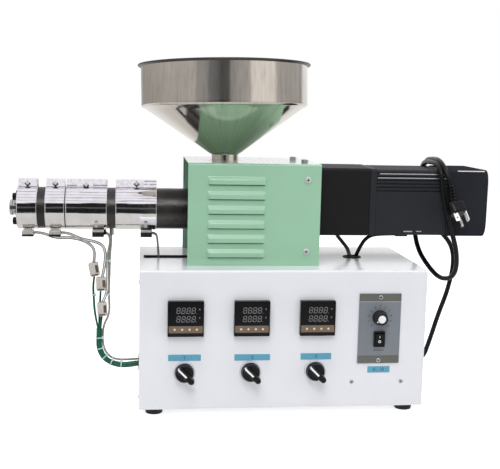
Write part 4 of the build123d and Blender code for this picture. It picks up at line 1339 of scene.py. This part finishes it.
def make_terminals():
    """Terminals under the bands: two small capped boxes, and two black blocks with a strap."""
    shape = Shape(terminal_steel, terminal_dark, black_oxide)
    front, back = 84.2, 97.8
    for low_x, high_x in ((-161.2, -145.9), (-124.5, -109.0)):
        for inset, ahead, behind, low, high, bevel, segments, material in (
            (0.0, 0.0, 0.0, 224.6, 230.4, 0.8, 3, 0), (-0.2, -0.3, 0.2, 222.0, 225.2, 0.6, 2, 1),
            (2.6, 5.5, 0.0, 229.6, 233.0, 1.1, 3, 0),
        ):
            shape.block((low_x + inset, front + ahead, low), (high_x - inset, back + behind, high),
                        bevel, segments, material)
    for low_x, high_x, stud_x in ((-65.7, -49.6, -59.9), (1.1, 17.1, 8.4)):
        middle = (low_x + high_x) / 2
        shape.block((low_x, front + 0.8, 228.2), (high_x, back, 231.6), 0.6, 2, 0)
        shape.block((low_x, front + 0.4, 221.6), (high_x, back, 228.5), 0.8, 3, 2)
        for left, right in ((low_x + 0.9, middle - 0.6), (middle + 0.6, high_x - 0.9)):
            shape.block((left, front, 222.6), (right, front + 1.0, 227.4), 0.4, 2, 1)
        shape.bar((stud_x, 81.8, 238.9), (2.2, 0.6, 5.1), 0.4, 2, 0,
                  Matrix.Rotation(math.radians(41), 4, "X"))
        stud, outward = (stud_x, 79.9, 243.6), (0, -0.84, -0.54)
        shape.spin(((-1.0, 1.9), (0.4, 1.9), (0.6, 1.5)), stud, outward, 12, 1)
        shape.spin(((0.6, 1.5), (1.0, 1.1), (1.0, 0)), stud, outward, 12, 0)
    shape.bar((16.0, 87.0, 236.1), (5.6, 3.0, 1.8), 0.9, 2, 2,
              Matrix.Rotation(math.radians(25), 4, "Y"))
    shape.block((-49.8, 86.0, 224.6), (-46.4, 91.0, 232.0), 0.9, 2, 2)
    return shape.finish("terminal_boxes", replaces=("terminal_blocks",))


make_terminals()


# Gearhead, motor and fan cover


drive_size = 95.0
drive_outline = rounded_rectangle(drive_size, drive_size, 4.0, 6)


def drive_section(x, outline, inset=0.0):
    """A section of the drive, its outline made smaller by about an inset on every side."""
    smaller = resized(outline, 1 - inset / 48)
    return Vector((x, axis_setback, motor_height)), Vector((0, 1, 0)), Vector((0, 0, 1)), smaller


def make_gearhead():
    """A square gearhead with eased edges, a seam at its flange and a shaft at its face."""
    shape = Shape(gearhead_paint, nozzle_steel)
    swept(shape, [drive_section(x, drive_outline, inset) for x, inset in (
        (236.1, 0.8), (236.8, 0.0), (319.4, 0.0), (320.2, 0.7), (320.9, 0.7))])
    shape.spin(((0, 7.5), (30.0, 7.5), (30.0, 0)), (236.2, axis_setback, axis_height), (-1, 0, 0),
               40, 1)
    return shape.finish("gearhead_case", replaces=("gearhead",))


def ribbed_outline(size, radius, groove, depth, sides):
    """A rounded square with grooves at given offsets on its top, back, bottom and front."""
    half = size / 2
    outline = []
    for quarter, offsets in enumerate(sides):
        side = []
        for centre in offsets:
            for offset, sink in ((-groove / 2 - 0.25, 0.0), (-groove / 2 + 0.2, 0.35),
                                 (-groove / 2 + 0.5, depth), (groove / 2 - 0.5, depth),
                                 (groove / 2 - 0.2, 0.35), (groove / 2 + 0.25, 0.0)):
                side.append((centre + offset, half - sink))
        side += arc((half - radius, half - radius), radius, 90, 0, 6)
        outline += turned(side, -90 * quarter)
    return outline


def make_motor():
    """A finned motor with its flange, lead boss, lead clamp, the seams at both ends and bright
    strips of painted highlight on its ribs.
    """
    shape = Shape(drive_paint, painted_highlight_strip, black_plastic)
    swept(shape, [drive_section(x, drive_outline, inset) for x, inset in (
        (320.9, 0.7), (321.4, 0.1), (322.0, 0.0), (328.6, 0.0), (329.4, 0.5), (329.5, 1.6))])
    ribbed_size, pitch = 93.0, 5.0
    upper = [11.2 + pitch * k for k in range(1, 7)]
    across = [pitch * (k - 8) for k in range(17)]
    ribs = ribbed_outline(ribbed_size, radius=3.6, groove=2.2, depth=1.8,
                          sides=(across, [-u for u in reversed(upper)], across, upper))
    swept(shape, [drive_section(x, ribs, inset) for x, inset in (
        (329.3, 0.6), (330.2, 0.0), (432.2, 0.0), (433.2, 0.8))])
    shape.spin(((0, 4.6), (3.4, 4.6), (4.4, 4.0), (5.0, 3.1)), (338.4, 152.3, axis_height),
               (0, 1, 0), 32, 2)
    shape.block((372.0, 100.4, 222.2), (390.2, 109.6, 231.0), 1.2, 3, 2)
    front = axis_setback - ribbed_size / 2
    # Bright strips on two upper ribs and two low on the front: painted highlights
    for low, high, rise, tall in ((333.5, 431.0, 317.1, 1.5), (331.0, 431.0, 311.3, 1.4),
                                  (371.5, 384.0, 235.7, 1.7), (389.5, 397.5, 235.9, 1.2)):
        shape.block((low, front - 0.25, rise - tall / 2), (high, front + 0.8, rise + tall / 2),
                    0.2, 2, 1)
    return shape.finish("motor_case", replaces=("motor",))


dome_start, dome_depth, dome_inset = 487.5, 12.4, 40.0


def dome_reach(aside):
    """How far right the fan cover's domed end lies, at a distance from its middle."""
    share = 1 - min(1.0, (drive_size / 2 - aside) / dome_inset)
    return dome_start + dome_depth * math.sqrt(1 - share * share)


def make_fan_cover():
    """A fan cover with eased corners and a softly domed end, dark strips of painted shade for its
    air slots and a painted highlight along its top edge.
    """
    shape = Shape(fan_paint, painted_shade_black, painted_highlight_strip)
    centre = Vector((0, axis_setback, motor_height))
    places = [(433.0, 1.4), (433.3, 0.7), (434.2, 0.0), (dome_start, 0.0)]
    for step in range(1, 13):
        turn = math.radians(7.5 * step)
        places.append((dome_start + dome_depth * math.sin(turn), dome_inset * (1 - math.cos(turn))))
    sections = []
    for x, inset in places:
        size = drive_size - 2 * inset
        corner_radius = min(4.0 + inset, size / 2 - 0.5)
        sections.append(drive_section(x, rounded_rectangle(size, size, corner_radius, 8)))
    swept(shape, sections)
    # The air slots are dark strips laid on the dome: painted shade, not openings
    slotted, slot_pitch, half_slot = 29.0, 6.0, 1.2
    for band in range(-4, 5):
        z = band * slot_pitch
        reach = math.sqrt(slotted ** 2 - z ** 2)
        points = []
        for step in range(13):
            y = reach * (step / 6 - 1)
            points.append((dome_reach(max(abs(y), abs(z))) + 0.12, y))
        shape.loft([[centre + Vector((x, y, z + half)) for x, y in points]
                    for half in (-half_slot, half_slot)], 1, closed=False, caps=False)
    # A bright strip along the top front edge: painted highlight
    edge = motor_height + drive_size / 2
    shape.block((446.0, axis_setback - 47.3, edge - 3.0), (486.0, axis_setback - 46.3, edge - 1.3),
                0.3, 2, 2, Matrix.Rotation(math.radians(-30), 4, "X"))
    return shape.finish("fan_cover_case", replaces=("fan_cover",))


make_gearhead()
make_motor()
make_fan_cover()


# Floor, surroundings and light


mirrored_floor = (0.73, 0.715, 0.695, 1)


def by_ray(tree, kind, others, these):
    """One shader for a kind of ray, and another for all other rays."""
    share = node(tree, "LightPath").outputs[kind]
    return node(tree, "MixShader", {"Fac": share, 1: others, 2: these}).outputs[0]


def make_floor():
    """A pale floor that the camera sees as white, and that polished pieces see as warm grey."""
    data = bpy.data.meshes.new("floor")
    level = corner.z - 0.010
    left, right, front, back = -3.0, 3.0, -0.62, 3.0
    data.from_pydata([(left, front, level), (right, front, level), (right, back, level),
                      (left, back, level)], [], [(0, 1, 2, 3)])
    floor = bpy.data.objects.new("floor", data)
    scene.collection.objects.link(floor)
    made = bpy.data.materials.new("floor")
    made.use_nodes = True
    tree = made.node_tree
    tree.nodes.clear()
    paint = node(tree, "BsdfDiffuse", {"Color": (0.86, 0.86, 0.87, 1)}).outputs[0]
    glow = node(tree, "Emission", {"Color": (1, 1, 1, 1), "Strength": 0.75}).outputs[0]
    bright = node(tree, "AddShader", {0: paint, 1: glow}).outputs[0]
    place = node(tree, "TexCoord").outputs["Object"]
    behind = spread(tree, node(tree, "SeparateXYZ", {0: place}).outputs[1], 0.0, 1.0)
    warm = ramp(tree, behind, ((0.0, mirrored_floor), (1.0, (0.97, 0.96, 0.95, 1))))
    mirrored = node(tree, "Emission", {"Color": warm, "Strength": 1.0}).outputs[0]
    seen = by_ray(tree, "Is Camera Ray", paint, bright)
    mixed = by_ray(tree, "Is Glossy Ray", seen, mirrored)
    node(tree, "OutputMaterial", {"Surface": mixed})
    data.materials.append(made)


# What polished steel mirrors. The walls: degrees from straight ahead of the machine's front,
# growing to the right, then grey level and warmth. The ceiling has thin grey lines, in degrees
# from the front over the top.
walls = (
    (-180, 0.6, 0.02), (-168, 0.53, 0.03), (-153, 0.38, 0.03), (-130, 0.42, 0.04),
    (-100, 0.45, 0.04), (-88, 0.49, 0.04), (-70, 0.45, 0.04), (-46, 0.47, 0.04),
    (-41, 0.28, 0.03), (-35, 0.3, 0.0), (-29, 0.25, 0.0), (-24, 0.13, 0.0), (-14, 0.07, 0.0),
    (-11, 0.014, 0.0), (1, 0.014, 0.0), (4, 0.28, 0.03), (12, 0.33, 0.03), (29, 0.42, 0.04),
    (32, 0.85, 0.04), (67, 0.86, 0.04), (70, 0.42, 0.04), (100, 0.38, 0.04), (118, 0.43, 0.04),
    (122, 0.3, 0.03), (127, 0.5, 0.02), (132, 0.95, 0.0), (180, 0.95, 0.0),
)
ceiling_lines = (45.3, 61.5, 78.7, 99.9, 128.5)


def make_world():
    """White to the camera, soft to the paint, and dark and light walls to polished steel."""
    world = bpy.data.worlds.new("studio")
    scene.world = world
    world.use_nodes = True
    tree = world.node_tree
    tree.nodes.clear()

    def maths(operation, *values):
        return node(tree, "Math", dict(enumerate(values)), operation=operation).outputs[0]

    def blend(share, first, second, way="MIX"):
        inputs = {"Factor": share, 6: first, 7: second}
        return node(tree, "Mix", inputs, data_type="RGBA", blend_type=way).outputs[2]

    def step(value, start, end):
        inputs = {"Value": value, "From Min": start, "From Max": end}
        return node(tree, "MapRange", inputs, interpolation_type="SMOOTHSTEP").outputs["Result"]

    place = node(tree, "TexCoord").outputs["Generated"]
    x, y, z = node(tree, "SeparateXYZ", {0: place}).outputs
    toward = maths("MULTIPLY", y, -1.0)
    azimuth = maths("ADD", maths("DIVIDE", maths("ARCTAN2", x, toward), 2 * math.pi), 0.5)
    elevation = maths("MULTIPLY", maths("ARCSINE", z), 180 / math.pi)
    overhead = maths("MULTIPLY", maths("ARCTAN2", z, toward), 180 / math.pi)
    around = ramp(tree, azimuth, [
        ((angle + 180) / 360, (level * (1 + warm), level, level * (1 - warm), 1))
        for angle, level, warm in walls
    ])
    white, thin_line = (1.0, 0.97, 1.04, 1), (0.36, 0.34, 0.37, 1)
    line = ((-2.2, white), (-0.8, thin_line), (0.8, thin_line), (2.2, white))
    stops = [((angle + aside) / 180, colour) for angle in ceiling_lines for aside, colour in line]
    ceiling = ramp(tree, maths("DIVIDE", overhead, 180.0), stops)
    from_line = maths("ABSOLUTE", maths("SUBTRACT", elevation, 6.0))
    haze = maths("SUBTRACT", 1.0, step(from_line, 2.0, 5.0))
    around = blend(haze, around, (0.09, 0.093, 0.1, 1), "ADD")
    mirrored = blend(step(elevation, -25.5, -21.5), mirrored_floor, around)
    mirrored = blend(step(elevation, 28.5, 32.5), mirrored, ceiling)
    steel = node(tree, "Background", {"Color": mirrored}).outputs[0]
    soft = node(tree, "Background", {"Color": (0.96, 0.97, 1.0, 1), "Strength": 0.36}).outputs[0]
    plain = node(tree, "Background", {"Color": (1, 1, 1, 1), "Strength": 1.0}).outputs[0]
    reflected = by_ray(tree, "Is Glossy Ray", soft, steel)
    seen = by_ray(tree, "Is Camera Ray", reflected, plain)
    node(tree, "OutputWorld", {"Surface": seen})


def area_light(name, place, target, size, power, glossy=False):
    """A square lamp aimed at a target, in metres; polished pieces mirror it if it is glossy."""
    data = bpy.data.lights.new(name, "AREA")
    data.shape = "SQUARE"
    data.size = size
    data.energy = power
    made = bpy.data.objects.new(name, data)
    scene.collection.objects.link(made)
    made.location = place
    aim = Vector(target) - Vector(place)
    made.rotation_euler = aim.to_track_quat("-Z", "Y").to_euler()
    made.visible_camera = False
    made.visible_glossy = glossy
    return made


def keep_off(lamp, pieces):
    """The lamp leaves out these pieces, whose polish shows the studio's walls and ceiling."""
    group = bpy.data.collections.new(lamp.name + "_leaves_out")
    lamp.light_linking.receiver_collection = group
    for piece in pieces:
        group.objects.link(piece)
    for entry in group.collection_objects:
        entry.light_linking.link_state = "EXCLUDE"


make_floor()
make_world()
area_light("key", (-0.3, -1.1, 2.1), (0.0, 0.0, 0.25), 1.3, 16.0)
area_light("fill", (1.5, -0.9, 0.9), (0.1, 0.0, 0.2), 1.2, 4.0)
area_light("top", (0.0, 0.3, 2.0), (0.0, 0.0, 0.2), 1.6, 21.0)
softbox = area_light("softbox", (-0.2, -1.5, 1.5), (0.0, 0.0, 0.27), 0.85, 9.0, glossy=True)
keep_off(softbox, polished)
